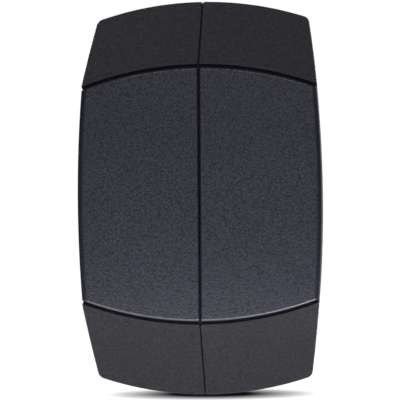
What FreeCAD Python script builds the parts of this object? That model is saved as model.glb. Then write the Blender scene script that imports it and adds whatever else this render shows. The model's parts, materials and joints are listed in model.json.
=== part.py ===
import FreeCAD, Part
import math
import os

# Pedestrian signal head with two 200 mm aspects, in millimetres, +Z up, lamps facing -Y.
# A one-piece front frame carries the mounting bushes, the two hinged lamp doors and the wiring rail.
# Two mirrored rear shells meet on the middle plane and close the back, with a grained cover on each.
# Shapes are modelled about the middle of the body; save() moves them so that the origin is the
# centre of the lower mounting bush's seat face, on the vertical axis through both bushes.

V = FreeCAD.Vector

# Body outline: bowed sides and arched ends with rounded corners, seen along Y
BODY_WIDTH = 302.0
BODY_HEIGHT = 500.0
SIDE_RADIUS = 1640.0
END_RADIUS = 415.0
CORNER_RADIUS = 10.0
INNER_CORNER = 3.0
REACH_OVER = 50.0        # how far cutting tools pass the body's sides

# Depths along Y
FRAME_FRONT_Y = -40.0
TAPER_Y = 10.0
FRAME_REAR_Y = 40.0
FRONT_INSET = 12.0
SHELL_GASKET = 1.5
SHELL_STRAIGHT = 8.5
FACET_DEPTH = 84.0
FACET_RISE = 90.0
DOOR_GAP = 1.0
DOOR_DEPTH = 27.0

# Walls and seams
SHELL_WALL = 3.0
FRAME_WALL = 3.5
SEAM_GAP = 0.6
SEAM_EDGE = 2.4
FACET_EDGE = 3.0
LIP_WIDTH = 5.5
LIP_GROOVE = 1.2
LIP_GROOVE_DEPTH = 0.9
FLANGE_WIDTH = 16.0
FLANGE_THICK = 4.0
BOSS_RADIUS = 6.0
BOSS_LENGTH = 8.0

# Rear covers
COVER_GAP = 2.6
COVER_RECESS = 7.0
COVER_SKIRT = 25.0
COVER_WALL = 3.0
COVER_SIDE_EDGE = 8.0
COVER_END_EDGE = 4.6
COVER_SEAM_GAP = 1.2
COVER_SEAM_EDGE = 2.4
COVER_FIT = 0.3
COVER_SCREW_SEAM = 40.0  # screws' distance from the seam
COVER_SCREW_SIDE = 45.0  # and from the side and the end arch
COVER_SCREW_END = 65.0

# Seam flanges and bolts
SEAM_FLANGE = 14.0
SEAM_FLANGE_THICK = 3.4
SEAM_BOLT_RADIUS = 2.5
SEAM_BOLT_INSET = 10.0
SEAM_BOLT_END = 60.0

# Frame details
RIM_WIDTH = 12.0
RIM_THICK = 3.5
CROSSBAR_HALF = 8.0
CROSSBAR_DEPTH = 28.0
CROSSBAR_WALL = 3.0
SCREW_RADIUS = 2.5
SCREW_CLEAR = 0.3
HEAD_RADIUS = 4.4
HEAD_HEIGHT = 3.2
FRAME_SCREW_MID_Z = 55.0
FRAME_SCREW_CORNER = 86.0
FRAME_SCREW_END_X = 78.0

# Mounting bushes, for 1 1/2 inch pipe
BUSH_BORE = 24.75
BUSH_WALL = 3.75
BUSH_FLANGE_WIDTH = 11.25
BUSH_FLANGE = 4.0
BUSH_PROUD = 0.5
BUSH_TEETH = 72
TOOTH_DEPTH = 1.1
PAD_MARGIN = 3.5
PAD_CLEAR = 0.9          # between the ring nut and the tapered wall
NUT_HEIGHT = 6.0
NUT_WIDTH = 5.5
THREAD_CLEAR = 0.1

# Lamps
LAMP_OFFSET = 117.0
OPENING_RADIUS = 100.0
SEAT_RADIUS = 104.0
COLLAR_WALL = 3.5
CUP_GAP = 0.5            # before and behind the cup's flange
LENS_THICK = 3.0
LENS_DOME = 11.0
LENS_GASKET = 1.5
MASK_THICK = 1.5
DIFFUSER_THICK = 3.0
CUP_RADIUS = 101.0
CUP_WALL = 2.5
CUP_DEPTH = 35.5
CUP_FLANGE_RADIUS = 109.0
CUP_FLANGE = 3.0
EAR_RADIUS = 6.5
CUP_SCREW_CIRCLE = 113.0
CUP_SCREW_ANGLES = (20, 160, 200, 340)
BOARD_RADIUS = 88.0
BOARD_THICK = 1.6
BOARD_POST = 12.0
BOARD_POST_CIRCLE = 78.0
LED_RADIUS = 2.5
LED_HEIGHT = 7.5
LED_RINGS = ((1, 0.0), (6, 17.0), (12, 34.0), (18, 51.0), (24, 68.0))

# Doors
DOOR_WALL = 3.0
DOOR_FACE = 3.5
DOOR_SPLIT = 2.0
DOOR_EDGE = 5.0
DOOR_CORNER = 6.0
DOOR_FLANGE = 12.0
DOOR_FLANGE_THICK = 4.0
SEAL_INSET = 4.0
SEAL_WIDTH = 4.6
SEAL_DEPTH = 2.6
SEAL_FIT = 0.2
SEAL_STANDOFF = 0.3      # left between the door seal and the frame's rim

# Hinges
HINGE_OUT = 1.0          # pins' axis beyond the door's side at mid height
HINGE_INNER_Z = 58.0
HINGE_END = 79.0         # outer hinge's distance from the body's end
KNUCKLE_RADIUS = 6.5
KNUCKLE_HALF = 10.0
KNUCKLE_GAP = 0.5
EAR_HEIGHT = 10.0
PIN_RADIUS = 3.0
PIN_CLEAR = 0.05
PIN_HEAD = 4.6
PIN_HEAD_HEIGHT = 2.0
SWING_CLEAR = 0.9
ARM_THICK = 5.5
ARM_OVERLAP = 8.0        # how far a hinge arm reaches in over the door's edge

# Quarter-turn latches, on the side away from the hinges
LATCH_SIDE = 31.0        # latches' distance from the body's side
LATCH_END = 41.0         # outer latch's distance from the body's end arch
LATCH_INNER_Z = 36.0
LATCH_SHAFT = 4.0
LATCH_CLEAR = 0.05
LATCH_BOSS = 8.0
LATCH_POCKET = 13.5
LATCH_POCKET_DEPTH = 3.0
KNOB_RADIUS = 12.0
KNOB_HEIGHT = 4.0
WING_LENGTH = 21.0
WING_WIDTH = 6.0
WING_HEIGHT = 8.0
PAWL_LENGTH = 15.5
PAWL_WIDTH = 11.0
PAWL_THICK = 3.0
PAWL_HUB = 7.0
PAWL_HUB_LENGTH = 4.0
KEEPER_THICK = 1.5
KEEPER_HEIGHT = 22.0
KEEPER_WIDTH = 8.0
KEEPER_CLEAR = 0.6

# Visors
VISOR_RADIUS = 105.0
VISOR_WALL = 2.5
VISOR_LENGTH = 150.0
VISOR_FLANGE_RADIUS = 111.0
VISOR_FLANGE = 3.0
VISOR_SCREW_CIRCLE = 114.0
VISOR_SCREW_ANGLES = (45, 135, 225, 315)
VISOR_BEAD = 1.6
VISOR_CUT_START = 18.0
VISOR_CUT_RISE = 14.0
SMALL_SCREW = 2.0
SMALL_HEAD = 3.8
SMALL_HEAD_HEIGHT = 2.6

# Wiring rail and what it carries
RAIL_SIDE = 58.0         # rail's end to the body's widest point
RAIL_WIDTH = 35.0
RAIL_WEB = 25.0
RAIL_DEPTH = 7.5
RAIL_SHEET = 1.2
RAIL_POST_INSET = 8.0
RAIL_POST_LENGTH = 29.0
TERMINAL_COUNT = 10
TERMINAL_PITCH = 6.2
TERMINAL_THICK = 5.8
TERMINAL_START_X = -68.0
TERMINAL_HEIGHT = 46.0
TERMINAL_DEPTH = 40.0
DRIVER_SIZE = (58.0, 40.0, 74.0)
DRIVER_START_X = 12.0

# Vent plug in the lower wall
VENT_X = 72.0
VENT_RADIUS = 6.0
VENT_HEAD = 9.0

# Worked out from the sizes above
HALF_W = BODY_WIDTH / 2
HALF_H = BODY_HEIGHT / 2
REACH = HALF_W + REACH_OVER
SHELL_Y = FRAME_REAR_Y + SHELL_GASKET
FACET_Y = SHELL_Y + SHELL_STRAIGHT
REAR_Y = FACET_Y + FACET_DEPTH
FOOT_Z = HALF_H - FACET_RISE
FLOOR_Y = REAR_Y - COVER_RECESS
BAND = COVER_WALL + COVER_FIT
BAND_Y = REAR_Y - COVER_SKIRT - COVER_FIT
DOOR_REAR_Y = FRAME_FRONT_Y - DOOR_GAP
DOOR_FRONT_Y = DOOR_REAR_Y - DOOR_DEPTH
FACE_BACK_Y = DOOR_FRONT_Y + DOOR_FACE
LENS_Y = FACE_BACK_Y + LENS_GASKET
MASK_Y = LENS_Y + LENS_THICK
DIFFUSER_Y = MASK_Y + MASK_THICK
CUP_FRONT_Y = DIFFUSER_Y + DIFFUSER_THICK
CUP_REAR_Y = CUP_FRONT_Y + CUP_DEPTH
COLLAR_DEPTH = DOOR_DEPTH - DOOR_FACE - DOOR_FLANGE_THICK - CUP_FLANGE - 2 * CUP_GAP
CUP_FLANGE_Y = FACE_BACK_Y + COLLAR_DEPTH + CUP_GAP
BOARD_Y = CUP_REAR_Y - CUP_WALL - BOARD_POST
BUSH_RADIUS = BUSH_BORE + BUSH_WALL
BUSH_FLANGE_RADIUS = BUSH_BORE + BUSH_FLANGE_WIDTH
NUT_RADIUS = BUSH_RADIUS + NUT_WIDTH
PAD_RADIUS = BUSH_FLANGE_RADIUS + PAD_MARGIN
TAPER_AT_NUT = FRONT_INSET * (TAPER_Y + NUT_RADIUS) / (TAPER_Y - FRAME_FRONT_Y)
SPOT_Z = HALF_H - BUSH_FLANGE + BUSH_PROUD
PAD_Z = HALF_H - TAPER_AT_NUT - FRAME_WALL - PAD_CLEAR
ORIGIN_DROP = HALF_H + BUSH_PROUD
HINGE_X = HALF_W - FRONT_INSET + HINGE_OUT
HINGE_Y = (FRAME_FRONT_Y + DOOR_REAR_Y) / 2
HINGE_Z = (HINGE_INNER_Z, HALF_H - HINGE_END)
RAIL_HALF = HALF_W - RAIL_SIDE
RAIL_POST_X = RAIL_HALF - RAIL_POST_INSET
RAIL_Y = FRAME_FRONT_Y + FRAME_WALL + RAIL_POST_LENGTH
RAIL_TOP_Y = RAIL_Y + RAIL_DEPTH
OVER = 20.0


# ---- plain shapes -------------------------------------------------------------------------

def box(x0, x1, y0, y1, z0, z1):
    return Part.makeBox(x1 - x0, y1 - y0, z1 - z0, V(x0, y0, z0))


def rod(radius, y0, y1, x=0.0, z=0.0):
    """Cylinder along Y."""
    return Part.makeCylinder(radius, y1 - y0, V(x, y0, z), V(0, 1, 0))


def ring(inner, outer, y0, y1, x=0.0, z=0.0):
    return rod(outer, y0, y1, x, z).cut(rod(inner, y0 - 1, y1 + 1, x, z))


def post(radius, z0, z1, x=0.0, y=0.0):
    """Cylinder along Z."""
    return Part.makeCylinder(radius, z1 - z0, V(x, y, z0))


def fuse(first, *rest):
    return first.multiFuse(list(rest)).removeSplitter() if rest else first


def polygon(points):
    return Part.Face(Part.makePolygon(points + points[:1]))


def flip_x(shape):
    return shape.mirror(V(0, 0, 0), V(1, 0, 0))


def flip_z(shape):
    return shape.mirror(V(0, 0, 0), V(0, 0, 1))


def both_ends(shape):
    return [shape, flip_z(shape)]


def moved(shape, x=0.0, y=0.0, z=0.0):
    copy = shape.copy()
    copy.translate(V(x, y, z))
    return copy


def on_circle(radius, degrees, centre_z):
    angle = math.radians(degrees)
    return radius * math.cos(angle), centre_z + radius * math.sin(angle)


def edges_where(shape, test):
    """Edges whose middle point passes the test."""
    found = []
    for edge in shape.Edges:
        middle = edge.valueAt((edge.FirstParameter + edge.LastParameter) / 2)
        if test(middle, edge):
            found.append(edge)
    return found


def bar(x0, z0, x1, z1, width, y0, y1):
    """Round-ended bar between two points of the X-Z plane."""
    length = math.hypot(x1 - x0, z1 - z0)
    side = V(z0 - z1, 0, x1 - x0) * (width / 2 / length)
    a = V(x0, y0, z0)
    b = V(x1, y0, z1)
    middle = polygon([a + side, b + side, b - side, a - side]).extrude(V(0, y1 - y0, 0))
    return fuse(middle, rod(width / 2, y0, y1, x0, z0), rod(width / 2, y0, y1, x1, z1))


# ---- the body's outline -------------------------------------------------------------------

def side_x(z, inset=0.0):
    """Half width of the outline at a height."""
    return HALF_W - SIDE_RADIUS + math.sqrt((SIDE_RADIUS - inset) ** 2 - z * z)


def end_z(x, inset=0.0):
    """Half height of the outline at a distance from the middle plane."""
    return HALF_H - END_RADIUS + math.sqrt((END_RADIUS - inset) ** 2 - x * x)


def arm_inner_x():
    """Where the hinge arms end, over the narrowest place that carries one."""
    return side_x(HINGE_Z[1], FRONT_INSET) - ARM_OVERLAP


def latch_places():
    """Name to (x, z, direction of the pawl when free) of the upper door's latches."""
    outer_z = end_z(HALF_W - LATCH_SIDE) - LATCH_END
    places = {}
    for name, z, way in (("outer", outer_z, -1), ("inner", LATCH_INNER_Z, 1)):
        places[name] = (LATCH_SIDE - side_x(z), z, way)
    return places


def outline(inset, y):
    """Closed wire of the outline in the plane at y, moved in by inset."""
    corner = max(CORNER_RADIUS - inset, INNER_CORNER)
    side_centre = V(HALF_W - SIDE_RADIUS, y, 0)
    end_centre = V(0, y, HALF_H - END_RADIUS)
    side_r = SIDE_RADIUS - inset
    end_r = END_RADIUS - inset
    r0 = side_r - corner
    r1 = end_r - corner
    between = end_centre - side_centre
    gap = between.Length
    along = (r0 * r0 - r1 * r1 + gap * gap) / (2 * gap)
    across = math.sqrt(r0 * r0 - along * along)
    unit = between * (1 / gap)
    centre = side_centre + unit * along + V(-unit.z, 0, unit.x) * across
    s = side_centre + (centre - side_centre) * (side_r / r0)
    t = end_centre + (centre - end_centre) * (end_r / r1)
    bisector = (s - centre) + (t - centre)
    m = centre + bisector * (corner / bisector.Length)

    def at(point, sx, sz):
        return V(point.x * sx, y, point.z * sz)

    edges = []
    side_mid = V(HALF_W - inset, y, 0)
    end_mid = V(0, y, HALF_H - inset)
    edges.append(Part.Arc(at(s, 1, -1), side_mid, at(s, 1, 1)).toShape())
    edges.append(Part.Arc(at(s, 1, 1), at(m, 1, 1), at(t, 1, 1)).toShape())
    edges.append(Part.Arc(at(t, 1, 1), end_mid, at(t, -1, 1)).toShape())
    edges.append(Part.Arc(at(t, -1, 1), at(m, -1, 1), at(s, -1, 1)).toShape())
    edges.append(Part.Arc(at(s, -1, 1), at(side_mid, -1, 1), at(s, -1, -1)).toShape())
    edges.append(Part.Arc(at(s, -1, -1), at(m, -1, -1), at(t, -1, -1)).toShape())
    edges.append(Part.Arc(at(t, -1, -1), at(end_mid, 1, -1), at(t, 1, -1)).toShape())
    edges.append(Part.Arc(at(t, 1, -1), at(m, 1, -1), at(s, 1, -1)).toShape())
    return Part.Wire(edges)


def prism(inset, y0, y1):
    return Part.Face(outline(inset, y0)).extrude(V(0, y1 - y0, 0))


def taper(inset0, y0, inset1, y1):
    return Part.makeLoft([outline(inset0, y0), outline(inset1, y1)], True, True)


def arch(top, y):
    """The end arc with its crown at height top, as (left point, crown, right point)."""
    z = top - END_RADIUS + math.sqrt(END_RADIUS ** 2 - REACH ** 2)
    return V(-REACH, y, z), V(0, y, top), V(REACH, y, z)


def end_cutter(clear):
    """All that lies beyond the upper sloping facet, or beyond a surface clear mm inside it."""
    slope = FACET_RISE / FACET_DEPTH
    drop = clear * math.hypot(FACET_DEPTH, FACET_RISE) / FACET_DEPTH
    y = REAR_Y + OVER
    left, crown, right = arch(FOOT_Z - OVER * slope - drop, y)
    high = HALF_H + REACH
    edges = [
        Part.Arc(left, crown, right).toShape(),
        Part.makeLine(right, V(REACH, y, high)),
        Part.makeLine(V(REACH, y, high), V(-REACH, y, high)),
        Part.makeLine(V(-REACH, y, high), left),
    ]
    run = FACET_DEPTH + 2 * OVER
    return Part.Face(Part.Wire(edges)).extrude(V(0, -run, run * slope))


def middle_zone(reach, y0, y1):
    """The part of space between the two arches whose crowns are at +reach and -reach."""
    left, crown, right = arch(reach, y0)
    low = [V(p.x, p.y, -p.z) for p in (right, crown, left)]
    edges = [
        Part.Arc(left, crown, right).toShape(),
        Part.makeLine(right, low[0]),
        Part.Arc(*low).toShape(),
        Part.makeLine(low[2], left),
    ]
    return Part.Face(Part.Wire(edges)).extrude(V(0, y1 - y0, 0))


def without_ends(shape, clear):
    return shape.cut(Part.makeCompound(both_ends(end_cutter(clear))))


def half_space(x0, side=1):
    """The half of space beyond x0 on one side, for splitting the body."""
    space = box(x0, REACH, -2 * REACH, 2 * REACH, -2 * REACH, 2 * REACH)
    return space if side > 0 else flip_x(space)


# ---- rear shells --------------------------------------------------------------------------

def shell_cavity(extra, front=SHELL_Y + FLANGE_THICK):
    """Inside of the rear shells from front on, extra mm smaller than the finished wall leaves it."""
    turn_y = BAND_Y - SHELL_WALL - extra
    wide = prism(SHELL_WALL + extra, front, turn_y)
    narrow = prism(SHELL_WALL + BAND + extra, turn_y, FLOOR_Y - SHELL_WALL - extra)
    return without_ends(fuse(wide, narrow), SHELL_WALL + extra)


def frame_screw_points():
    """(x, z) of the screws that hold one shell to the frame, on the +X half."""
    inset = FLANGE_WIDTH / 2 + 0.5
    heights = (FRAME_SCREW_MID_Z, HALF_H - FRAME_SCREW_CORNER)
    points = [(side_x(z, inset), z * sign) for z in heights for sign in (1, -1)]
    points += [(FRAME_SCREW_END_X, end_z(FRAME_SCREW_END_X, inset) * s) for s in (1, -1)]
    return points


def seam_bolt_points():
    """(y, z) of the bolts through the two seam flanges."""
    slope = math.hypot(FACET_DEPTH, FACET_RISE)
    normal_y = -FACET_RISE / slope
    normal_z = -FACET_DEPTH / slope
    top = FOOT_Z - SEAM_BOLT_END
    points = [(FLOOR_Y - SHELL_WALL - SEAM_BOLT_INSET + 2.0, z) for z in (-top, 0.0, top)]
    for share in (0.3, 0.75):
        y = REAR_Y - FACET_DEPTH * share + normal_y * (SEAM_BOLT_INSET + 1.5)
        z = FOOT_Z + FACET_RISE * share + normal_z * (SEAM_BOLT_INSET + 1.5)
        points += [(y, z), (y, -z)]
    return points


def cover_screw_points():
    top = FOOT_Z - COVER_SCREW_END
    return [(x, z) for x in (COVER_SCREW_SEAM, HALF_W - COVER_SCREW_SIDE) for z in (-top, top)]


def make_shell():
    """The rear shell on the +X side."""
    start = SEAM_GAP / 2
    outer = without_ends(prism(0, SHELL_Y, REAR_Y), 0)
    rim = edges_where(outer, lambda p, e: FACET_Y - 1 < p.y < REAR_Y - 1 and abs(p.z) > FOOT_Z - 40
                      and not (abs(p.x) < 1 and p.y > FACET_Y + 1))
    outer = outer.makeFillet(FACET_EDGE, rim)
    outer = outer.common(half_space(start))
    outer = outer.cut(middle_zone(FOOT_Z, FLOOR_Y, REAR_Y + OVER))
    seam = edges_where(outer, lambda p, e: abs(p.x - start) < 1e-3
                       and p.y > SHELL_Y + 0.5 and abs(p.z) > FOOT_Z + 0.5)
    outer = outer.makeFillet(SEAM_EDGE, seam)
    skirt_band = middle_zone(FOOT_Z, BAND_Y, REAR_Y).cut(prism(BAND, BAND_Y - 1, REAR_Y + 1))
    groove_y = REAR_Y - FACET_DEPTH * LIP_WIDTH / FACET_RISE
    crown = FOOT_Z + LIP_WIDTH
    groove = ring(END_RADIUS - LIP_GROOVE / 2, END_RADIUS + LIP_GROOVE / 2,
                  groove_y - LIP_GROOVE_DEPTH, REAR_Y + 1, 0, crown - END_RADIUS)
    groove = groove.common(box(-REACH, REACH, 0, REAR_Y + 2, crown - 90, crown + 10))
    shell = outer.cut(Part.makeCompound([skirt_band, *both_ends(groove)]))
    mouth = prism(FLANGE_WIDTH, SHELL_Y - 1, SHELL_Y + FLANGE_THICK + 1)
    shell = shell.cut(fuse(shell_cavity(0), mouth))
    flange = shell_cavity(-1, SHELL_Y + 1).cut(shell_cavity(SEAM_FLANGE, SHELL_Y - 1))
    flange = flange.common(box(start, start + SEAM_FLANGE_THICK, 0, REAR_Y, -REACH * 2, REACH * 2))
    flange = flange.cut(mouth)
    bosses = []
    holes = []
    for x, z in frame_screw_points():
        boss = rod(BOSS_RADIUS, SHELL_Y + 1, SHELL_Y + FLANGE_THICK + BOSS_LENGTH, x, z)
        bosses.append(boss.common(without_ends(prism(1, SHELL_Y, REAR_Y), 1)))
        holes.append(rod(SCREW_RADIUS, SHELL_Y - 1, SHELL_Y + FLANGE_THICK + BOSS_LENGTH - 2, x, z))
    for x, z in cover_screw_points():
        holes.append(rod(SCREW_RADIUS + SCREW_CLEAR, FLOOR_Y - SHELL_WALL - 1, FLOOR_Y + 1, x, z))
    for y, z in seam_bolt_points():
        holes.append(Part.makeCylinder(SEAM_BOLT_RADIUS + SCREW_CLEAR, 3 * SEAM_FLANGE_THICK,
                                       V(-1, y, z), V(1, 0, 0)))
    return fuse(shell, flange, *bosses).cut(Part.makeCompound(holes))


def make_shell_gasket():
    """Flat gasket between the frame and both shells, shared with the seam gasket's ends."""
    sheet = prism(1.0, FRAME_REAR_Y, SHELL_Y).cut(prism(FLANGE_WIDTH, FRAME_REAR_Y - 1, SHELL_Y + 1))
    holes = [rod(SCREW_RADIUS + SCREW_CLEAR, FRAME_REAR_Y - 1, SHELL_Y + 1, x * side, z)
             for x, z in frame_screw_points() for side in (1, -1)]
    return sheet.cut(Part.makeCompound(holes))


def make_seam_gasket():
    half = SEAM_GAP / 2
    body = prism(SEAM_EDGE + 0.6, SHELL_Y, FLOOR_Y - 0.6)
    body = without_ends(body, SEAM_EDGE + 0.6)
    mouth = prism(FLANGE_WIDTH, SHELL_Y - 1, SHELL_Y + FLANGE_THICK + 1)
    body = body.cut(fuse(shell_cavity(SEAM_FLANGE, SHELL_Y - 1), mouth))
    body = body.common(box(-half, half, 0, REAR_Y, -REACH * 2, REACH * 2))
    holes = [Part.makeCylinder(SEAM_BOLT_RADIUS + SCREW_CLEAR, 4, V(-2, y, z), V(1, 0, 0))
             for y, z in seam_bolt_points()]
    return body.cut(Part.makeCompound(holes))


def make_cover():
    """Grained rear cover on the +X side, with a skirt that wraps the side wall."""
    start = COVER_SEAM_GAP / 2
    top = FOOT_Z - COVER_GAP
    block = prism(0, REAR_Y - COVER_SKIRT, REAR_Y).common(middle_zone(top, REAR_Y - COVER_SKIRT, REAR_Y))
    block = block.common(half_space(start))
    side = edges_where(block, lambda p, e: abs(p.y - REAR_Y) < 1e-3 and p.x > HALF_W - 20)
    block = block.makeFillet(COVER_SIDE_EDGE, side)
    ends = edges_where(block, lambda p, e: abs(p.y - REAR_Y) < 1e-3 and abs(p.z) > top - 50
                       and abs(p.x - start) > 1e-3 and p.x < HALF_W - 20)
    block = block.makeFillet(COVER_END_EDGE, ends)
    seam = edges_where(block, lambda p, e: abs(p.y - REAR_Y) < 1e-3 and abs(p.x - start) < 1e-3)
    block = block.makeFillet(COVER_SEAM_EDGE, seam)
    under = prism(COVER_WALL, REAR_Y - COVER_SKIRT - 1, FLOOR_Y + COVER_FIT)
    hollow = prism(COVER_WALL + 1.5, FLOOR_Y, REAR_Y - COVER_WALL)
    hollow = hollow.common(middle_zone(top - COVER_WALL, FLOOR_Y, REAR_Y))
    hollow = hollow.common(half_space(start + COVER_WALL))
    cover = block.cut(fuse(under, hollow))
    posts = []
    pilots = []
    for x, z in cover_screw_points():
        posts.append(rod(BOSS_RADIUS, FLOOR_Y, REAR_Y - COVER_WALL + 0.5, x, z))
        pilots.append(rod(SMALL_SCREW, FLOOR_Y - 1, REAR_Y - COVER_WALL, x, z))
    return fuse(cover, *posts).cut(Part.makeCompound(pilots))


def screw_y(x, z, y, direction, length, radius=SCREW_RADIUS, head=HEAD_RADIUS, height=HEAD_HEIGHT):
    """Screw along Y whose head's underside is at y and whose shank runs in direction."""
    if direction > 0:
        shank = rod(radius, y - 0.5, y + length, x, z)
        cap = rod(head, y - height, y, x, z)
        slot = box(x - head, x + head, y - height - 1, y - height + 1, z - 0.6, z + 0.6)
    else:
        shank = rod(radius, y - length, y + 0.5, x, z)
        cap = rod(head, y, y + height, x, z)
        slot = box(x - head, x + head, y + height - 1, y + height + 1, z - 0.6, z + 0.6)
    return fuse(shank, cap).cut(slot)


def make_cover_screws():
    y = FLOOR_Y - SHELL_WALL
    return [screw_y(x * side, z, y, 1, SHELL_WALL + COVER_RECESS - COVER_WALL - 1, radius=SMALL_SCREW)
            for x, z in cover_screw_points() for side in (1, -1)]


def make_frame_screws():
    y = FRAME_REAR_Y - FLANGE_THICK
    length = FLANGE_THICK + SHELL_GASKET + FLANGE_THICK + BOSS_LENGTH - 3
    return [screw_y(x * side, z, y, 1, length) for x, z in frame_screw_points() for side in (1, -1)]


def make_seam_bolts():
    bolts = []
    grip = SEAM_GAP / 2 + SEAM_FLANGE_THICK
    for y, z in seam_bolt_points():
        shank = Part.makeCylinder(SEAM_BOLT_RADIUS, 2 * grip + 6, V(-grip, y, z), V(1, 0, 0))
        head = Part.makeCylinder(HEAD_RADIUS, HEAD_HEIGHT, V(-grip - HEAD_HEIGHT, y, z), V(1, 0, 0))
        bolts.append(fuse(shank, head))
    return bolts


def make_seam_nuts():
    nuts = []
    grip = SEAM_GAP / 2 + SEAM_FLANGE_THICK
    for y, z in seam_bolt_points():
        corners = [V(grip, y + 4.6 * math.cos(math.radians(a)), z + 4.6 * math.sin(math.radians(a)))
                   for a in range(0, 360, 60)]
        nut = polygon(corners).extrude(V(4, 0, 0))
        hole = Part.makeCylinder(SEAM_BOLT_RADIUS + THREAD_CLEAR, 6, V(grip - 1, y, z), V(1, 0, 0))
        nuts.append(nut.cut(hole))
    return nuts


# ---- front frame --------------------------------------------------------------------------

def hinge_centres():
    return [z * side for z in HINGE_Z for side in (1, -1)]


def frame_outer():
    front = taper(0, TAPER_Y, FRONT_INSET, FRAME_FRONT_Y)
    return fuse(prism(0, TAPER_Y, FRAME_REAR_Y), front)


def make_frame():
    outer = frame_outer()
    inner = fuse(prism(FRAME_WALL, TAPER_Y, FRAME_REAR_Y + 1),
                 taper(FRAME_WALL, TAPER_Y, FRONT_INSET + FRAME_WALL, FRAME_FRONT_Y))
    inner = inner.cut(box(-REACH, REACH, FRAME_FRONT_Y - 1, FRAME_FRONT_Y, -2 * REACH, 2 * REACH))
    tube = outer.cut(inner)
    rear = prism(1, FRAME_REAR_Y - FLANGE_THICK, FRAME_REAR_Y)
    rear = rear.cut(prism(FLANGE_WIDTH, FRAME_REAR_Y - FLANGE_THICK - 1, FRAME_REAR_Y + 1))
    rim = prism(FRONT_INSET + 1, FRAME_FRONT_Y, FRAME_FRONT_Y + RIM_THICK)
    rim = rim.cut(prism(FRONT_INSET + RIM_WIDTH, FRAME_FRONT_Y - 1, FRAME_FRONT_Y + RIM_THICK + 1))
    beam = box(-HALF_W, HALF_W, FRAME_FRONT_Y, FRAME_FRONT_Y + CROSSBAR_DEPTH,
               -CROSSBAR_HALF, CROSSBAR_HALF)
    inside = CROSSBAR_HALF - CROSSBAR_WALL
    beam = beam.cut(box(-REACH, REACH, FRAME_FRONT_Y + FRAME_WALL, FRAME_REAR_Y, -inside, inside))
    posts = [rod(BOSS_RADIUS, FRAME_FRONT_Y + 1, FRAME_FRONT_Y + FRAME_WALL + RAIL_POST_LENGTH, x)
             for x in (-RAIL_POST_X, RAIL_POST_X)]
    beam = fuse(beam, *posts).common(outer)
    pad = fuse(post(PAD_RADIUS, PAD_Z, SPOT_Z), post(PAD_RADIUS, PAD_Z, HALF_H + 5).common(outer))
    frame = fuse(tube, rear, rim, beam, *both_ends(pad))
    cuts = []
    spot = post(BUSH_FLANGE_RADIUS + 0.4, SPOT_Z, HALF_H + 5)
    tunnel = post(BUSH_RADIUS + THREAD_CLEAR, PAD_Z - 1, HALF_H + 5)
    cuts += both_ends(fuse(spot, tunnel))
    for x, z in frame_screw_points():
        for side in (1, -1):
            cuts.append(rod(SCREW_RADIUS + SCREW_CLEAR, FRAME_REAR_Y - FLANGE_THICK - 1, FRAME_REAR_Y + 1,
                            x * side, z))
    for x in (-RAIL_POST_X, RAIL_POST_X):
        cuts.append(rod(SCREW_RADIUS, FRAME_FRONT_Y + FRAME_WALL + 2, 0, x))
    cuts.append(post(VENT_RADIUS + 0.1, -HALF_H - 5, -HALF_H + 20, VENT_X))
    frame = frame.cut(Part.makeCompound(cuts))
    ears = []
    for z in hinge_centres():
        reach = KNUCKLE_HALF + KNUCKLE_GAP
        slot = post(KNUCKLE_RADIUS + SWING_CLEAR, z - reach, z + reach, HINGE_X, HINGE_Y)
        clear = pin_reach()
        ends = post(PIN_HEAD + SWING_CLEAR, z - clear, z + clear, HINGE_X, HINGE_Y)
        frame = frame.cut(fuse(slot, ends))
        for low in (z - reach - EAR_HEIGHT, z + reach):
            knuckle = post(KNUCKLE_RADIUS, low, low + EAR_HEIGHT, HINGE_X, HINGE_Y)
            arm = box(arm_inner_x(), HINGE_X, FRAME_FRONT_Y, FRAME_FRONT_Y + ARM_THICK,
                      low, low + EAR_HEIGHT)
            bore = post(PIN_RADIUS + PIN_CLEAR, low - 1, low + EAR_HEIGHT + 1, HINGE_X, HINGE_Y)
            ears.append(fuse(knuckle, arm).cut(bore))
    frame = fuse(frame, *ears)
    clear = pin_reach()
    bores = [post(PIN_RADIUS + PIN_CLEAR, z - clear, z + clear, HINGE_X, HINGE_Y) for z in hinge_centres()]
    return frame.cut(Part.makeCompound(bores))


def pin_reach():
    """Half the length of the space that a hinge with its pin takes up."""
    return KNUCKLE_HALF + 2 * KNUCKLE_GAP + EAR_HEIGHT + PIN_HEAD_HEIGHT


def make_hinge_pins():
    pins = []
    reach = KNUCKLE_HALF + KNUCKLE_GAP + EAR_HEIGHT
    for z in hinge_centres():
        shank = post(PIN_RADIUS, z - reach - 2, z + reach + 0.5, HINGE_X, HINGE_Y)
        head = post(PIN_HEAD, z + reach, z + reach + PIN_HEAD_HEIGHT, HINGE_X, HINGE_Y)
        pins.append(fuse(shank, head))
    return pins


def make_latch_keepers():
    """Steel strikers behind the frame's rim, one where each pawl turns in."""
    keepers = []
    y = FRAME_FRONT_Y + RIM_THICK
    for x, z, _ in latch_places().values():
        edge = -side_x(z, FRONT_INSET + RIM_WIDTH)
        plate = box(edge - KEEPER_WIDTH, edge - 0.4, y, y + KEEPER_THICK, z - KEEPER_HEIGHT / 2,
                    z + KEEPER_HEIGHT / 2)
        keepers += both_ends(plate)
    return keepers


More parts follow.
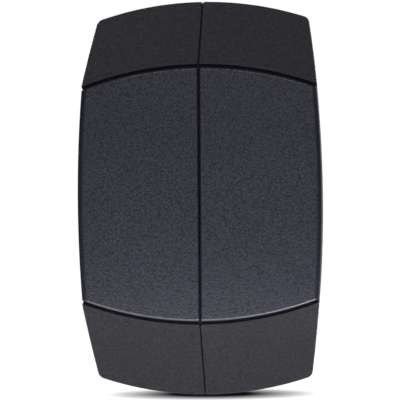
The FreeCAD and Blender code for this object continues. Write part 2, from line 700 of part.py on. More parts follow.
def make_bush():
    """Serrated mounting bush in the upper wall."""
    low = PAD_Z - NUT_HEIGHT - 1.0
    high = SPOT_Z + BUSH_FLANGE
    body = fuse(post(BUSH_FLANGE_RADIUS, SPOT_Z, high), post(BUSH_RADIUS, low, SPOT_Z + 1))
    inner = BUSH_RADIUS + 1.5
    groove_half = math.pi * BUSH_FLANGE_RADIUS / BUSH_TEETH
    groove = polygon([
        V(inner, 0, high - TOOTH_DEPTH * 0.5),
        V(inner, groove_half * 0.8, high + 0.3),
        V(inner, -groove_half * 0.8, high + 0.3),
    ])
    groove = Part.makeLoft([
        groove.OuterWire,
        Part.makePolygon([
            V(BUSH_FLANGE_RADIUS + 1, 0, high - TOOTH_DEPTH),
            V(BUSH_FLANGE_RADIUS + 1, groove_half, high + 0.3),
            V(BUSH_FLANGE_RADIUS + 1, -groove_half, high + 0.3),
            V(BUSH_FLANGE_RADIUS + 1, 0, high - TOOTH_DEPTH),
        ]),
    ], True, True)
    cuts = [post(BUSH_BORE, low - 1, high + 1)]
    for i in range(BUSH_TEETH):
        turned = groove.copy()
        turned.rotate(V(0, 0, 0), V(0, 0, 1), 360.0 * i / BUSH_TEETH)
        cuts.append(turned)
    return body.cut(Part.makeCompound(cuts))


def make_bush_nut():
    """Slotted ring nut that draws the bush against the inside of the pad."""
    low = PAD_Z - NUT_HEIGHT
    nut = post(NUT_RADIUS, low, PAD_Z).cut(post(BUSH_RADIUS + THREAD_CLEAR, low - 1, PAD_Z + 1))
    cuts = []
    for i in range(6):
        notch = box(NUT_RADIUS - 3, NUT_RADIUS + 1, -3, 3, low - 1, PAD_Z + 1)
        notch.rotate(V(0, 0, 0), V(0, 0, 1), 60.0 * i)
        cuts.append(notch)
    return nut.cut(Part.makeCompound(cuts))


def make_vent_plug():
    """Screw-in drain and breather plug in the lower wall."""
    wall = -end_z(VENT_X)
    stem = post(VENT_RADIUS, wall - 1.5, wall + FRAME_WALL + 6, VENT_X)
    head = post(VENT_HEAD, wall - 4.5, wall - 1.6, VENT_X)
    bore = post(1.5, wall - 6, wall + FRAME_WALL + 8, VENT_X)
    slot = box(VENT_X - VENT_HEAD, VENT_X + VENT_HEAD, -0.8, 0.8, wall - 6, wall - 3.3)
    return fuse(stem, head, post(VENT_RADIUS, wall - 2, wall, VENT_X)).cut(Part.makeCompound([bore, slot]))


# ---- wiring rail --------------------------------------------------------------------------

def make_rail():
    """Top-hat rail on the two posts of the crossbar."""
    web = RAIL_WEB / 2
    outer = box(-RAIL_HALF, RAIL_HALF, RAIL_Y, RAIL_TOP_Y, -web, web)
    trough = box(-RAIL_HALF - 1, RAIL_HALF + 1, RAIL_Y + RAIL_SHEET, RAIL_TOP_Y + 1, -web + RAIL_SHEET,
                 web - RAIL_SHEET)
    wings = [box(-RAIL_HALF, RAIL_HALF, RAIL_TOP_Y - RAIL_SHEET, RAIL_TOP_Y, z0, z1)
             for z0, z1 in ((web - 0.5, RAIL_WIDTH / 2), (-RAIL_WIDTH / 2, -web + 0.5))]
    rail = fuse(outer.cut(trough), *wings)
    holes = [rod(SCREW_RADIUS + SCREW_CLEAR, RAIL_Y - 1, RAIL_Y + RAIL_SHEET + 1, x)
             for x in (-RAIL_POST_X, RAIL_POST_X)]
    return rail.cut(Part.makeCompound(holes))


def make_rail_screws():
    y = RAIL_Y + RAIL_SHEET
    return [screw_y(x, 0, y, -1, 12) for x in (-RAIL_POST_X, RAIL_POST_X)]


def make_terminals():
    """Rail terminals side by side, each with a wire funnel at both ends."""
    blocks = []
    half = TERMINAL_HEIGHT / 2
    foot = RAIL_WIDTH / 2
    y0 = RAIL_TOP_Y
    shoulder = y0 + TERMINAL_DEPTH * 0.55
    for i in range(TERMINAL_COUNT):
        x = TERMINAL_START_X + i * TERMINAL_PITCH
        profile = [V(x, y0 + 0.0, -foot), V(x, y0, foot), V(x, y0 + 6, half), V(x, shoulder, half),
                   V(x, y0 + TERMINAL_DEPTH, half - 9), V(x, y0 + TERMINAL_DEPTH, -half + 9),
                   V(x, shoulder, -half), V(x, y0 + 6, -half)]
        block = polygon(profile).extrude(V(TERMINAL_THICK, 0, 0))
        middle = x + TERMINAL_THICK / 2
        cuts = [box(x + 1, x + TERMINAL_THICK - 1, shoulder - 9, shoulder - 3, z0, z1)
                for z0, z1 in ((half - 10, half + 1), (-half - 1, -half + 10))]
        cuts += [rod(1.9, y0 + TERMINAL_DEPTH - 8, y0 + TERMINAL_DEPTH + 1, middle, z) for z in (-9, 9)]
        blocks.append(block.cut(Part.makeCompound(cuts)))
    return blocks


def make_terminal_screws():
    y = RAIL_TOP_Y + TERMINAL_DEPTH
    screws = []
    for i in range(TERMINAL_COUNT):
        x = TERMINAL_START_X + i * TERMINAL_PITCH + TERMINAL_THICK / 2
        for z in (-9, 9):
            cap = rod(1.8, y - 8, y - 2.5, x, z)
            screws.append(cap.cut(box(x - 2, x + 2, y - 3.3, y - 2, z - 0.3, z + 0.3)))
    return screws


def make_end_stops():
    """Clips that keep the terminals from sliding along the rail."""
    stops = []
    span = TERMINAL_COUNT * TERMINAL_PITCH
    for x in (TERMINAL_START_X - 8.2, TERMINAL_START_X + span):
        block = box(x, x + 7.8, RAIL_TOP_Y, RAIL_TOP_Y + 22, -RAIL_WIDTH / 2, RAIL_WIDTH / 2)
        block = block.makeChamfer(3, edges_where(block, lambda p, e: p.y > RAIL_TOP_Y + 21
                                                 and abs(p.z) > RAIL_WIDTH / 2 - 1))
        stops.append(block.cut(rod(2.5, RAIL_TOP_Y + 12, RAIL_TOP_Y + 25, x + 3.9)))
    return stops


def make_driver_case():
    """Lamp driver's case, open towards the rear where its lid sits."""
    width, depth, height = DRIVER_SIZE
    x0 = DRIVER_START_X
    case = box(x0, x0 + width, RAIL_TOP_Y, RAIL_TOP_Y + depth, -height / 2, height / 2)
    case = case.makeFillet(2.5, edges_where(case, lambda p, e: abs(p.y - RAIL_TOP_Y - depth / 2) < 1))
    hollow = box(x0 + 2, x0 + width - 2, RAIL_TOP_Y + 2, RAIL_TOP_Y + depth + 1,
                 -height / 2 + 2, height / 2 - 2)
    slots = [box(x0 - 1, x0 + 3, RAIL_TOP_Y + 8, RAIL_TOP_Y + depth - 8, z, z + 2.5)
             for z in range(-24, 24, 6)]
    return case.cut(Part.makeCompound([hollow, *slots]))


def make_driver_lid():
    width, depth, height = DRIVER_SIZE
    x0 = DRIVER_START_X
    top = RAIL_TOP_Y + depth
    lid = box(x0, x0 + width, top, top + 2, -height / 2, height / 2)
    lid = lid.makeFillet(2.5, edges_where(lid, lambda p, e: abs(p.y - top - 1) < 0.1))
    plug = box(x0 + 2.2, x0 + width - 2.2, top - 4, top + 0.5, -height / 2 + 2.2, height / 2 - 2.2)
    plug = plug.cut(box(x0 + 4, x0 + width - 4, top - 5, top, -height / 2 + 4, height / 2 - 4))
    sockets = [box(x0 + 10, x0 + width - 10, top + 0.8, top + 3, z, z + 7) for z in (-26, 19)]
    return fuse(lid, plug).cut(Part.makeCompound(sockets))


def make_driver_board():
    """Bare board inside the driver case with its transformer and two capacitors."""
    width, depth, height = DRIVER_SIZE
    x0 = DRIVER_START_X
    y0 = RAIL_TOP_Y + 2
    board = box(x0 + 4, x0 + width - 4, y0, y0 + 1.6, -height / 2 + 4, height / 2 - 4)
    core = box(x0 + 12, x0 + 34, y0 + 1, y0 + 20, -14, 10)
    cans = [Part.makeCylinder(6, 22, V(x0 + 44, y0 + 1, z), V(0, 1, 0)) for z in (-18, 18)]
    return fuse(board, core, *cans)


# ---- doors --------------------------------------------------------------------------------

def door_prism(inset, y0, y1):
    """The upper door's outline, moved in by inset on all its sides."""
    whole = prism(FRONT_INSET + inset, y0, y1)
    return whole.common(box(-REACH, REACH, y0 - 1, y1 + 1, DOOR_SPLIT / 2 + inset, 2 * REACH))


def cup_ear_points(z):
    return [on_circle(CUP_SCREW_CIRCLE, a, z) for a in CUP_SCREW_ANGLES]


def visor_ear_points(z):
    return [on_circle(VISOR_SCREW_CIRCLE, a, z) for a in VISOR_SCREW_ANGLES]


def make_door():
    """Upper lamp door; the lower one is its mirror image."""
    cz = LAMP_OFFSET
    door = door_prism(0, DOOR_FRONT_Y, DOOR_REAR_Y)
    corners = edges_where(door, lambda p, e: abs(p.z - DOOR_SPLIT / 2) < 1e-3
                          and abs(p.y - (DOOR_FRONT_Y + DOOR_REAR_Y) / 2) < 1)
    door = door.makeFillet(DOOR_CORNER, corners)
    front = edges_where(door, lambda p, e: abs(p.y - DOOR_FRONT_Y) < 1e-3)
    door = door.makeFillet(DOOR_EDGE, front)
    door = door.cut(door_prism(DOOR_WALL, FACE_BACK_Y, DOOR_REAR_Y + 1))
    flange = door_prism(1, DOOR_REAR_Y - DOOR_FLANGE_THICK, DOOR_REAR_Y)
    flange = flange.cut(door_prism(DOOR_FLANGE, DOOR_REAR_Y - DOOR_FLANGE_THICK - 1, DOOR_REAR_Y + 1))
    flange = flange.common(without_corner_tips())
    collar = ring(SEAT_RADIUS, SEAT_RADIUS + COLLAR_WALL, FACE_BACK_Y - 1, FACE_BACK_Y + COLLAR_DEPTH, 0, cz)
    adds = [flange, collar]
    cuts = [rod(OPENING_RADIUS, DOOR_FRONT_Y - 1, FACE_BACK_Y + 1, 0, cz)]
    for x, z in cup_ear_points(cz):
        adds.append(rod(BOSS_RADIUS, FACE_BACK_Y - 1, CUP_FLANGE_Y, x, z))
        cuts.append(rod(SMALL_SCREW, FACE_BACK_Y + 4, CUP_FLANGE_Y + 1, x, z))
    for x, z in visor_ear_points(cz):
        adds.append(rod(BOSS_RADIUS - 1, FACE_BACK_Y - 1, FACE_BACK_Y + 10, x, z))
        cuts.append(rod(SMALL_SCREW, DOOR_FRONT_Y - 1, FACE_BACK_Y + 8, x, z))
    for x, z, _ in latch_places().values():
        adds.append(rod(LATCH_BOSS, FACE_BACK_Y - 1, DOOR_REAR_Y, x, z))
        cup = rod(LATCH_POCKET + 2.5, DOOR_FRONT_Y + 2, DOOR_FRONT_Y + LATCH_POCKET_DEPTH + 3, x, z)
        adds.append(cup.common(door_prism(1, DOOR_FRONT_Y, DOOR_REAR_Y)))
        cuts.append(rod(LATCH_POCKET, DOOR_FRONT_Y - 1, DOOR_FRONT_Y + LATCH_POCKET_DEPTH, x, z))
        cuts.append(rod(LATCH_SHAFT + LATCH_CLEAR, DOOR_FRONT_Y - 1, DOOR_REAR_Y + 1, x, z))
    groove = door_prism(SEAL_INSET, DOOR_REAR_Y - SEAL_DEPTH, DOOR_REAR_Y + 1)
    groove = groove.cut(door_prism(SEAL_INSET + SEAL_WIDTH + 2 * SEAL_FIT, DOOR_REAR_Y - SEAL_DEPTH - 1,
                                   DOOR_REAR_Y + 2))
    cuts.append(groove)
    door = fuse(door, *adds).cut(Part.makeCompound(cuts))
    reach = pin_reach()
    for z in HINGE_Z:
        for z0, z1 in ((z - reach, z - KNUCKLE_HALF), (z + KNUCKLE_HALF, z + reach)):
            door = door.cut(post(KNUCKLE_RADIUS + SWING_CLEAR, z0, z1, HINGE_X, HINGE_Y))
        knuckle = post(KNUCKLE_RADIUS, z - KNUCKLE_HALF, z + KNUCKLE_HALF, HINGE_X, HINGE_Y)
        arm = box(arm_inner_x(), HINGE_X, DOOR_REAR_Y - ARM_THICK, DOOR_REAR_Y,
                  z - KNUCKLE_HALF, z + KNUCKLE_HALF)
        arm = arm.cut(groove)
        bore = post(PIN_RADIUS + PIN_CLEAR, z - reach, z + reach, HINGE_X, HINGE_Y)
        door = fuse(door, knuckle, arm).cut(bore)
    return door


def without_corner_tips():
    """Keeps the rear flange inside the door's rounded lower corners."""
    block = door_prism(0, DOOR_FRONT_Y, DOOR_REAR_Y)
    corners = edges_where(block, lambda p, e: abs(p.z - DOOR_SPLIT / 2) < 1e-3
                          and abs(p.y - (DOOR_FRONT_Y + DOOR_REAR_Y) / 2) < 1)
    return block.makeFillet(DOOR_CORNER, corners)


def make_door_seal():
    y0 = DOOR_REAR_Y - SEAL_DEPTH
    y1 = FRAME_FRONT_Y - SEAL_STANDOFF
    inset = SEAL_INSET + SEAL_FIT
    seal = door_prism(inset, y0, y1).cut(door_prism(inset + SEAL_WIDTH, y0 - 1, y1 + 1))
    reach = pin_reach()
    for z in HINGE_Z:
        seal = seal.cut(post(KNUCKLE_RADIUS + SWING_CLEAR + 0.3, z - reach, z + reach, HINGE_X, HINGE_Y))
    return seal


def make_lens():
    """Clear domed front lens seated behind the door's opening."""
    rim = OPENING_RADIUS - 1.0
    flange = rod(SEAT_RADIUS - 0.4, LENS_Y, MASK_Y)
    radius = (rim ** 2 + LENS_DOME ** 2) / (2 * LENS_DOME)
    ball = Part.makeSphere(radius, V(0, LENS_Y - LENS_DOME + radius, 0))
    core = rod(rim, LENS_Y - LENS_DOME - 1, MASK_Y)
    dome = ball.common(core)
    inner = Part.makeSphere(radius - LENS_THICK, V(0, LENS_Y - LENS_DOME + radius, 0))
    inner = inner.common(rod(rim, LENS_Y - LENS_DOME, MASK_Y + 1))
    return fuse(flange, dome.common(rod(rim, LENS_Y - LENS_DOME - 1, LENS_Y + 1))).cut(inner)


def make_lens_gasket():
    return ring(OPENING_RADIUS + 0.6, SEAT_RADIUS - 0.4, FACE_BACK_Y, LENS_Y)


STANDING_FIGURE = ((-20, 31, 20, 31, 16), (-27, 29, -27, -10, 9), (27, 29, 27, -10, 9),
                   (-8.5, 28, -8.5, -4, 21), (8.5, 28, 8.5, -4, 21),
                   (-9.5, -4, -9.5, -62, 15), (9.5, -4, 9.5, -62, 15))
STANDING_HEAD = (0, 58, 12.5)
WALKING_FIGURE = ((-2, 31, 0, 0, 23), (-5, 33, -25, 12, 9), (-25, 12, -31, 0, 8.5),
                  (4, 33, 20, 14, 9), (20, 14, 30, 8, 8.5),
                  (-1, -2, -18, -30, 14.5), (-18, -30, -22, -61, 12.5), (-22, -61, -32, -61, 9),
                  (3, -2, 14, -32, 14.5), (14, -32, 33, -54, 12.5), (33, -54, 30, -62, 9))
WALKING_HEAD = (-7, 58, 12.5)


def make_mask(limbs, head):
    """Black disc with the figure cut out of it."""
    x, z, radius = head
    y0 = MASK_Y - 1
    y1 = DIFFUSER_Y + 1
    figure = fuse(rod(radius, y0, y1, x, z), *[bar(*limb, y0, y1) for limb in limbs])
    return rod(SEAT_RADIUS - 0.4, MASK_Y, DIFFUSER_Y).cut(figure)


def make_diffuser():
    """Coloured disc behind the mask, with stepped rings on its lamp side."""
    disc = rod(SEAT_RADIUS - 0.4, DIFFUSER_Y, CUP_FRONT_Y)
    grooves = [ring(r, r + 1.2, CUP_FRONT_Y - 1.2, CUP_FRONT_Y + 1) for r in range(12, 96, 6)]
    return disc.cut(Part.makeCompound(grooves))


def board_posts():
    return [on_circle(BOARD_POST_CIRCLE, a, 0) for a in (45, 135, 225, 315)]


def make_cup():
    """Lamp module's rear cup, with four ears that screw to the door."""
    shell = rod(CUP_RADIUS, CUP_FRONT_Y, CUP_REAR_Y)
    rear = edges_where(shell, lambda p, e: abs(p.y - CUP_REAR_Y) < 1e-3)
    shell = shell.makeFillet(6, rear)
    flange = rod(CUP_FLANGE_RADIUS, CUP_FLANGE_Y, CUP_FLANGE_Y + CUP_FLANGE)
    ears = [rod(EAR_RADIUS, CUP_FLANGE_Y, CUP_FLANGE_Y + CUP_FLANGE, x, z) for x, z in cup_ear_points(0)]
    ribs = [box(-60, 60, CUP_REAR_Y - 1, CUP_REAR_Y + 3, z, z + 2.5) for z in (-52, -38, 36, 50)]
    outer = fuse(shell, flange, *ears, *ribs)
    hollow = rod(CUP_RADIUS - CUP_WALL, CUP_FRONT_Y - 1, CUP_REAR_Y - CUP_WALL)
    deep = edges_where(hollow, lambda p, e: abs(p.y - CUP_REAR_Y + CUP_WALL) < 1e-3)
    hollow = hollow.makeFillet(4, deep)
    holes = [rod(SMALL_SCREW + SCREW_CLEAR, CUP_FLANGE_Y - 1, CUP_FLANGE_Y + CUP_FLANGE + 1, x, z)
             for x, z in cup_ear_points(0)]
    window = box(-13, 13, CUP_REAR_Y - CUP_WALL - 1, CUP_REAR_Y + 1, -6, 6)
    cup = outer.cut(Part.makeCompound([hollow, window, *holes]))
    stems = [rod(4.5, BOARD_Y, CUP_REAR_Y - 1, x, z) for x, z in board_posts()]
    pilots = [rod(1.4, BOARD_Y - 1, CUP_REAR_Y - CUP_WALL, x, z) for x, z in board_posts()]
    return fuse(cup, *stems).cut(Part.makeCompound(pilots))


def make_cup_screws():
    y = CUP_FLANGE_Y + CUP_FLANGE
    return [screw_y(x, z, y, -1, CUP_FLANGE + 8, SMALL_SCREW, SMALL_HEAD, SMALL_HEAD_HEIGHT)
            for x, z in cup_ear_points(0)]


def make_board():
    board = rod(BOARD_RADIUS, BOARD_Y - BOARD_THICK, BOARD_Y)
    holes = [rod(1.7, BOARD_Y - BOARD_THICK - 1, BOARD_Y + 1, x, z) for x, z in board_posts()]
    return board.cut(Part.makeCompound(holes))


def make_board_screws():
    y = BOARD_Y - BOARD_THICK
    return [screw_y(x, z, y, 1, 8, 1.3, 2.6, 1.8) for x, z in board_posts()]


def make_leds():
    """Rings of round-topped LEDs on the board, facing the diffuser."""
    leds = []
    y = BOARD_Y - BOARD_THICK
    tip = y - LED_HEIGHT + LED_RADIUS
    for count, radius in LED_RINGS:
        for i in range(count):
            x, z = on_circle(radius, 360.0 * i / count + radius, 0)
            body = rod(LED_RADIUS, tip, y, x, z)
            leds.append(fuse(body, Part.makeSphere(LED_RADIUS, V(x, tip, z))))
    return leds


def make_connector():
    """Plug-in connector in the cup's rear window."""
    body = box(-12.8, 12.8, CUP_REAR_Y - CUP_WALL, CUP_REAR_Y + 11, -5.8, 5.8)
    collar = box(-16, 16, CUP_REAR_Y, CUP_REAR_Y + 2.5, -9, 9)
    socket = box(-10.5, 10.5, CUP_REAR_Y + 3, CUP_REAR_Y + 12, -3.6, 3.6)
    pins = [box(x - 0.5, x + 0.5, CUP_REAR_Y + 2, CUP_REAR_Y + 9, -0.5, 0.5)
            for x in (-7.5, -2.5, 2.5, 7.5)]
    return fuse(fuse(body, collar).cut(socket), *pins)


# ---- visors and latches -------------------------------------------------------------------

def make_visor():
    """Cut-away sun visor with a flat flange and four screw ears."""
    base = DOOR_FRONT_Y
    tip = base - VISOR_LENGTH
    inner = VISOR_RADIUS - VISOR_WALL
    tube = fuse(rod(VISOR_RADIUS, tip, base), rod(VISOR_RADIUS + VISOR_BEAD, tip, tip + 4))
    low = polygon([
        V(-REACH, base - VISOR_CUT_START, -VISOR_RADIUS - 5),
        V(-REACH, tip - 5, VISOR_CUT_RISE),
        V(-REACH, tip - 5, -VISOR_RADIUS - 5),
    ]).extrude(V(2 * REACH, 0, 0))
    tube = tube.cut(low)
    flange = rod(VISOR_FLANGE_RADIUS, base - VISOR_FLANGE, base)
    ears = [rod(EAR_RADIUS, base - VISOR_FLANGE, base, x, z) for x, z in visor_ear_points(0)]
    holes = [rod(SMALL_SCREW + SCREW_CLEAR, base - VISOR_FLANGE - 1, base + 1, x, z)
             for x, z in visor_ear_points(0)]
    return fuse(tube, flange, *ears).cut(Part.makeCompound([rod(inner, tip - 1, base + 1), *holes]))


def make_visor_screws():
    y = DOOR_FRONT_Y - VISOR_FLANGE
    return [screw_y(x, z, y, 1, VISOR_FLANGE + 10, SMALL_SCREW, SMALL_HEAD, SMALL_HEAD_HEIGHT)
            for x, z in visor_ear_points(0)]


def make_latch_knob(x, z):
    """Wing knob with its shaft, wing upright when the latch is free."""
    seat = DOOR_FRONT_Y + LATCH_POCKET_DEPTH - 0.3
    disc = rod(KNOB_RADIUS, seat - KNOB_HEIGHT, seat, x, z)
    disc = disc.makeFillet(1.2, edges_where(disc, lambda p, e: abs(p.y - seat + KNOB_HEIGHT) < 1e-3))
    wing = box(x - WING_WIDTH / 2, x + WING_WIDTH / 2, seat - KNOB_HEIGHT - WING_HEIGHT, seat - 1,
               z - WING_LENGTH / 2, z + WING_LENGTH / 2)
    crest = edges_where(wing, lambda p, e: p.y < seat - KNOB_HEIGHT - WING_HEIGHT + 0.1)
    wing = wing.makeFillet(2.2, crest)
    shaft = rod(LATCH_SHAFT, seat - 1, latch_end_y(), x, z)
    return fuse(disc, wing, shaft)


def pawl_y():
    return FRAME_FRONT_Y + RIM_THICK + KEEPER_THICK + KEEPER_CLEAR


def latch_end_y():
    return pawl_y() + PAWL_THICK + PAWL_HUB_LENGTH + 1.5


def make_latch_pawl(x, z, way):
    """Pawl with its hub on the shaft's rear end; it turns in behind the frame's rim."""
    y = pawl_y()
    tip = z + way * (PAWL_LENGTH - PAWL_WIDTH / 2)
    plate = bar(x, z, x, tip, PAWL_WIDTH, y, y + PAWL_THICK)
    hub = rod(PAWL_HUB, y, y + PAWL_THICK + PAWL_HUB_LENGTH, x, z)
    return fuse(plate, hub).cut(rod(LATCH_SHAFT + 0.02, y - 1, latch_end_y() + 1, x, z))


# ---- writing ------------------------------------------------------------------------------

def save(name, shapes):
    """Writes one node, moved so that the lower bush's seat face is at z = 0."""
    solids = shapes if isinstance(shapes, list) else [shapes]
    whole = []
    for shape in solids:
        whole += shape.Solids
    body = whole[0] if len(whole) == 1 else Part.makeCompound(whole)
    body = moved(body, z=ORIGIN_DROP)
    body.exportStep(os.path.join("parts", name + ".step"))
    print(name, len(whole), "solids", round(body.Volume / 1000, 2), "cm3")


def save_housing():
    shell = make_shell()
    save("rear_shell_right", shell)
    save("rear_shell_left", flip_x(shell))
    cover = make_cover()
    save("rear_cover_right", cover)
    save("rear_cover_left", flip_x(cover))
    save("cover_screws", make_cover_screws())
    save("shell_gasket", make_shell_gasket())
    save("seam_gasket", make_seam_gasket())
    save("shell_screws", make_frame_screws())
    save("seam_bolts", make_seam_bolts())
    save("seam_nuts", make_seam_nuts())
    save("front_frame", make_frame())
    save("hinge_pins", make_hinge_pins())
    save("latch_keepers", make_latch_keepers())
    bush = make_bush()
    save("upper_mount_bush", bush)
    save("lower_mount_bush", flip_z(bush))
    nut = make_bush_nut()
    save("upper_bush_nut", nut)
    save("lower_bush_nut", flip_z(nut))
    save("vent_plug", make_vent_plug())
    save("wiring_rail", make_rail())
    save("rail_screws", make_rail_screws())
    save("terminal_blocks", make_terminals())
    save("terminal_screws", make_terminal_screws())
    save("terminal_end_stops", make_end_stops())
    save("driver_case", make_driver_case())
    save("driver_lid", make_driver_lid())
    save("driver_board", make_driver_board())


def save_door(name, side, limbs, head):
    """One lamp door with everything that swings with it."""
    z = side * LAMP_OFFSET
    turn = flip_z if side < 0 else (lambda shape: shape)
    save(name + "_door", turn(make_door()))
    save(name + "_door_seal", turn(make_door_seal()))
    centred = {
        "lens": make_lens(),
        "lens_gasket": make_lens_gasket(),
        "symbol_mask": make_mask(limbs, head),
        "diffuser": make_diffuser(),
        "lamp_cup": make_cup(),
        "lamp_screws": make_cup_screws() + make_board_screws(),
        "led_board": make_board(),
        "leds": make_leds(),
        "lamp_connector": make_connector(),
        "visor": make_visor(),
        "visor_screws": make_visor_screws(),
    }
    for part, made in centred.items():
        pieces = made if isinstance(made, list) else [made]
        save(name + "_" + part, [moved(piece, z=z) for piece in pieces])
    for place, (x, lamp_z, way) in latch_places().items():
        save(f"{name}_latch_{place}_knob", turn(make_latch_knob(x, lamp_z)))
        save(f"{name}_latch_{place}_pawl", turn(make_latch_pawl(x, lamp_z, way)))


os.makedirs("parts", exist_ok=True)
save_housing()
save_door("upper", 1, STANDING_FIGURE, STANDING_HEAD)
save_door("lower", -1, WALKING_FIGURE, WALKING_HEAD)
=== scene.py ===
import bpy
import bmesh
import json
import math
from mathutils import Matrix, Vector


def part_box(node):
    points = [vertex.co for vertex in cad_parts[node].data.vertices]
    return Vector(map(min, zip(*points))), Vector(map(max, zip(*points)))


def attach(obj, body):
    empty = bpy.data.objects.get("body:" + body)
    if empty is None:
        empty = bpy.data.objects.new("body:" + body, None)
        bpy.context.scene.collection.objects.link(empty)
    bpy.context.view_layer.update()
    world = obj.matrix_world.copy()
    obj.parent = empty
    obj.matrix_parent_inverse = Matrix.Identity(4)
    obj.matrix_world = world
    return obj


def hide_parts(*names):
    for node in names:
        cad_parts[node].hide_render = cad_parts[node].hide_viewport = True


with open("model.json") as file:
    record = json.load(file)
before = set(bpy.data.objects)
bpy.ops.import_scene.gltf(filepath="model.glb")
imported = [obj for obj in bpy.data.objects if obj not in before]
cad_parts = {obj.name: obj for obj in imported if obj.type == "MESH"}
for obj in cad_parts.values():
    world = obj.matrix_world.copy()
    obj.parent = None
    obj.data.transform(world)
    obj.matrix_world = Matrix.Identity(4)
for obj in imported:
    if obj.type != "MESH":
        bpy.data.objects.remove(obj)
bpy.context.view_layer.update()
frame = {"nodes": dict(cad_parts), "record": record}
nodes = frame["nodes"]
print("frame loaded:", len(nodes), "nodes")

mm = 0.001
floatKind, vectorKind = "NodeSocketFloat", "NodeSocketVector"


def groupTree(name, inputs, outputs):
    tree = bpy.data.node_groups.new(name, "ShaderNodeTree")
    for label, value in inputs:
        socket = tree.interface.new_socket(label, in_out="INPUT", socket_type=floatKind)
        socket.default_value = value
    for label, kind in outputs:
        tree.interface.new_socket(label, in_out="OUTPUT", socket_type=kind)
    return tree, tree.nodes.new("NodeGroupInput"), tree.nodes.new("NodeGroupOutput")


def addNode(tree, kind, **settings):
    node = tree.nodes.new(kind)
    for key, value in settings.items():
        if key in node.inputs.keys():
            node.inputs[key].default_value = value
        else:
            setattr(node, key, value)
    return node


# a socket is linked, a number or a colour is set
def plug(tree, value, socket):
    if hasattr(value, "links"):
        tree.links.new(value, socket)
    else:
        socket.default_value = value


def mathNode(tree, operation, a, b=0.0, c=0.0, clamp=False):
    node = addNode(tree, "ShaderNodeMath", operation=operation, use_clamp=clamp)
    for socket, value in zip(node.inputs, (a, b, c)):
        plug(tree, value, socket)
    return node.outputs[0]


def mixColors(tree, factor, a, b):
    node = addNode(tree, "ShaderNodeMix", data_type="RGBA")
    for slot, value in ((0, factor), (6, a), (7, b)):    # a colour mix keeps its pair at 6 and 7
        plug(tree, value, node.inputs[slot])
    return node.outputs[2]


def mixNumbers(tree, factor, a, b):
    node = addNode(tree, "ShaderNodeMix")
    for slot, value in ((0, factor), (2, a), (3, b)):    # a number mix keeps its pair at 2 and 3
        plug(tree, value, node.inputs[slot])
    return node.outputs[0]


def remap(tree, value, low, high, toLow=0.0, toHigh=1.0):
    node = tree.nodes.new("ShaderNodeMapRange")
    for key, number in (("Value", value), ("From Min", low), ("From Max", high),
                        ("To Min", toLow), ("To Max", toHigh)):
        plug(tree, number, node.inputs[key])
    return node.outputs[0]


def coordinates(tree, kind):
    return tree.nodes.new("ShaderNodeTexCoord").outputs[kind]


def splitAxes(tree, vector):
    axes = tree.nodes.new("ShaderNodeSeparateXYZ")
    tree.links.new(vector, axes.inputs[0])
    return axes.outputs


def stretched(tree, scale):
    squeeze = addNode(tree, "ShaderNodeMapping", Scale=scale)
    tree.links.new(coordinates(tree, "Object"), squeeze.inputs["Vector"])
    return squeeze.outputs[0]


def noise(tree, vector, scale, detail=2.0, rough=0.5):
    node = addNode(tree, "ShaderNodeTexNoise", Detail=detail, Roughness=rough)
    tree.links.new(vector, node.inputs["Vector"])
    plug(tree, scale, node.inputs["Scale"])
    return node.outputs


# a pair is the range that is spread over 0 to 1
leatherLook = {
    "scale": 480.0,
    "stretch": (0.72, 1.0, 1.3),    # a little longer across than up
    "warpScale": 210.0,
    "warp": 0.003,
    "cellSoftness": 0.35,
    "pebble": (0.05, 0.7),
    "pebbleShare": 0.6,
    "fineScale": 1500.0,
    "fineShare": 0.22,
    "broadScale": 330.0,
    "broadShare": 0.6,
    "valley": (0.4, 0.75),
}


def makeLeatherGrain():
    look = leatherLook
    tree, come, go = groupTree("leatherGrain", [("Scale", look["scale"])],
                               [("Height", floatKind), ("Valley", floatKind)])
    flat = stretched(tree, look["stretch"])
    warp = noise(tree, flat, look["warpScale"])
    shift = addNode(tree, "ShaderNodeVectorMath", operation="MULTIPLY_ADD")
    tree.links.new(warp["Color"], shift.inputs[0])
    shift.inputs[1].default_value = [look["warp"]] * 3
    tree.links.new(flat, shift.inputs[2])
    cells = addNode(tree, "ShaderNodeTexVoronoi", feature="SMOOTH_F1", Smoothness=look["cellSoftness"])
    tree.links.new(shift.outputs[0], cells.inputs["Vector"])
    tree.links.new(come.outputs["Scale"], cells.inputs["Scale"])
    far = cells.outputs["Distance"]
    fine = noise(tree, flat, look["fineScale"], 2.0, 0.6)
    broad = noise(tree, flat, look["broadScale"])
    total = remap(tree, far, *look["pebble"], look["pebbleShare"], 0.0)
    total = mathNode(tree, "MULTIPLY_ADD", fine[0], look["fineShare"], total)
    total = mathNode(tree, "MULTIPLY_ADD", broad[0], look["broadShare"], total)
    tree.links.new(total, go.inputs["Height"])
    tree.links.new(remap(tree, far, *look["valley"]), go.inputs["Valley"])
    return tree


skinLook = {
    "scale": 1500.0,
    "driftScale": 16.0,
    "drift": (0.35, 0.65),
    "mottleScale": 300.0,
    "mottle": (0.3, 0.7),
}


# fine tooth of a mould's skin, slow drift of its colour and small mottle
def makeMouldedSkin():
    look = skinLook
    tree, come, go = groupTree("mouldedSkin", [("Scale", look["scale"])],
                               [("Height", floatKind), ("Drift", floatKind), ("Mottle", floatKind)])
    place = coordinates(tree, "Object")
    fine = noise(tree, place, come.outputs["Scale"], 3.0, 0.55)
    drift = noise(tree, place, look["driftScale"], 3.0)
    mottle = noise(tree, place, look["mottleScale"])
    tree.links.new(fine[0], go.inputs["Height"])
    tree.links.new(remap(tree, drift[0], *look["drift"]), go.inputs["Drift"])
    tree.links.new(remap(tree, mottle[0], *look["mottle"]), go.inputs["Mottle"])
    return tree


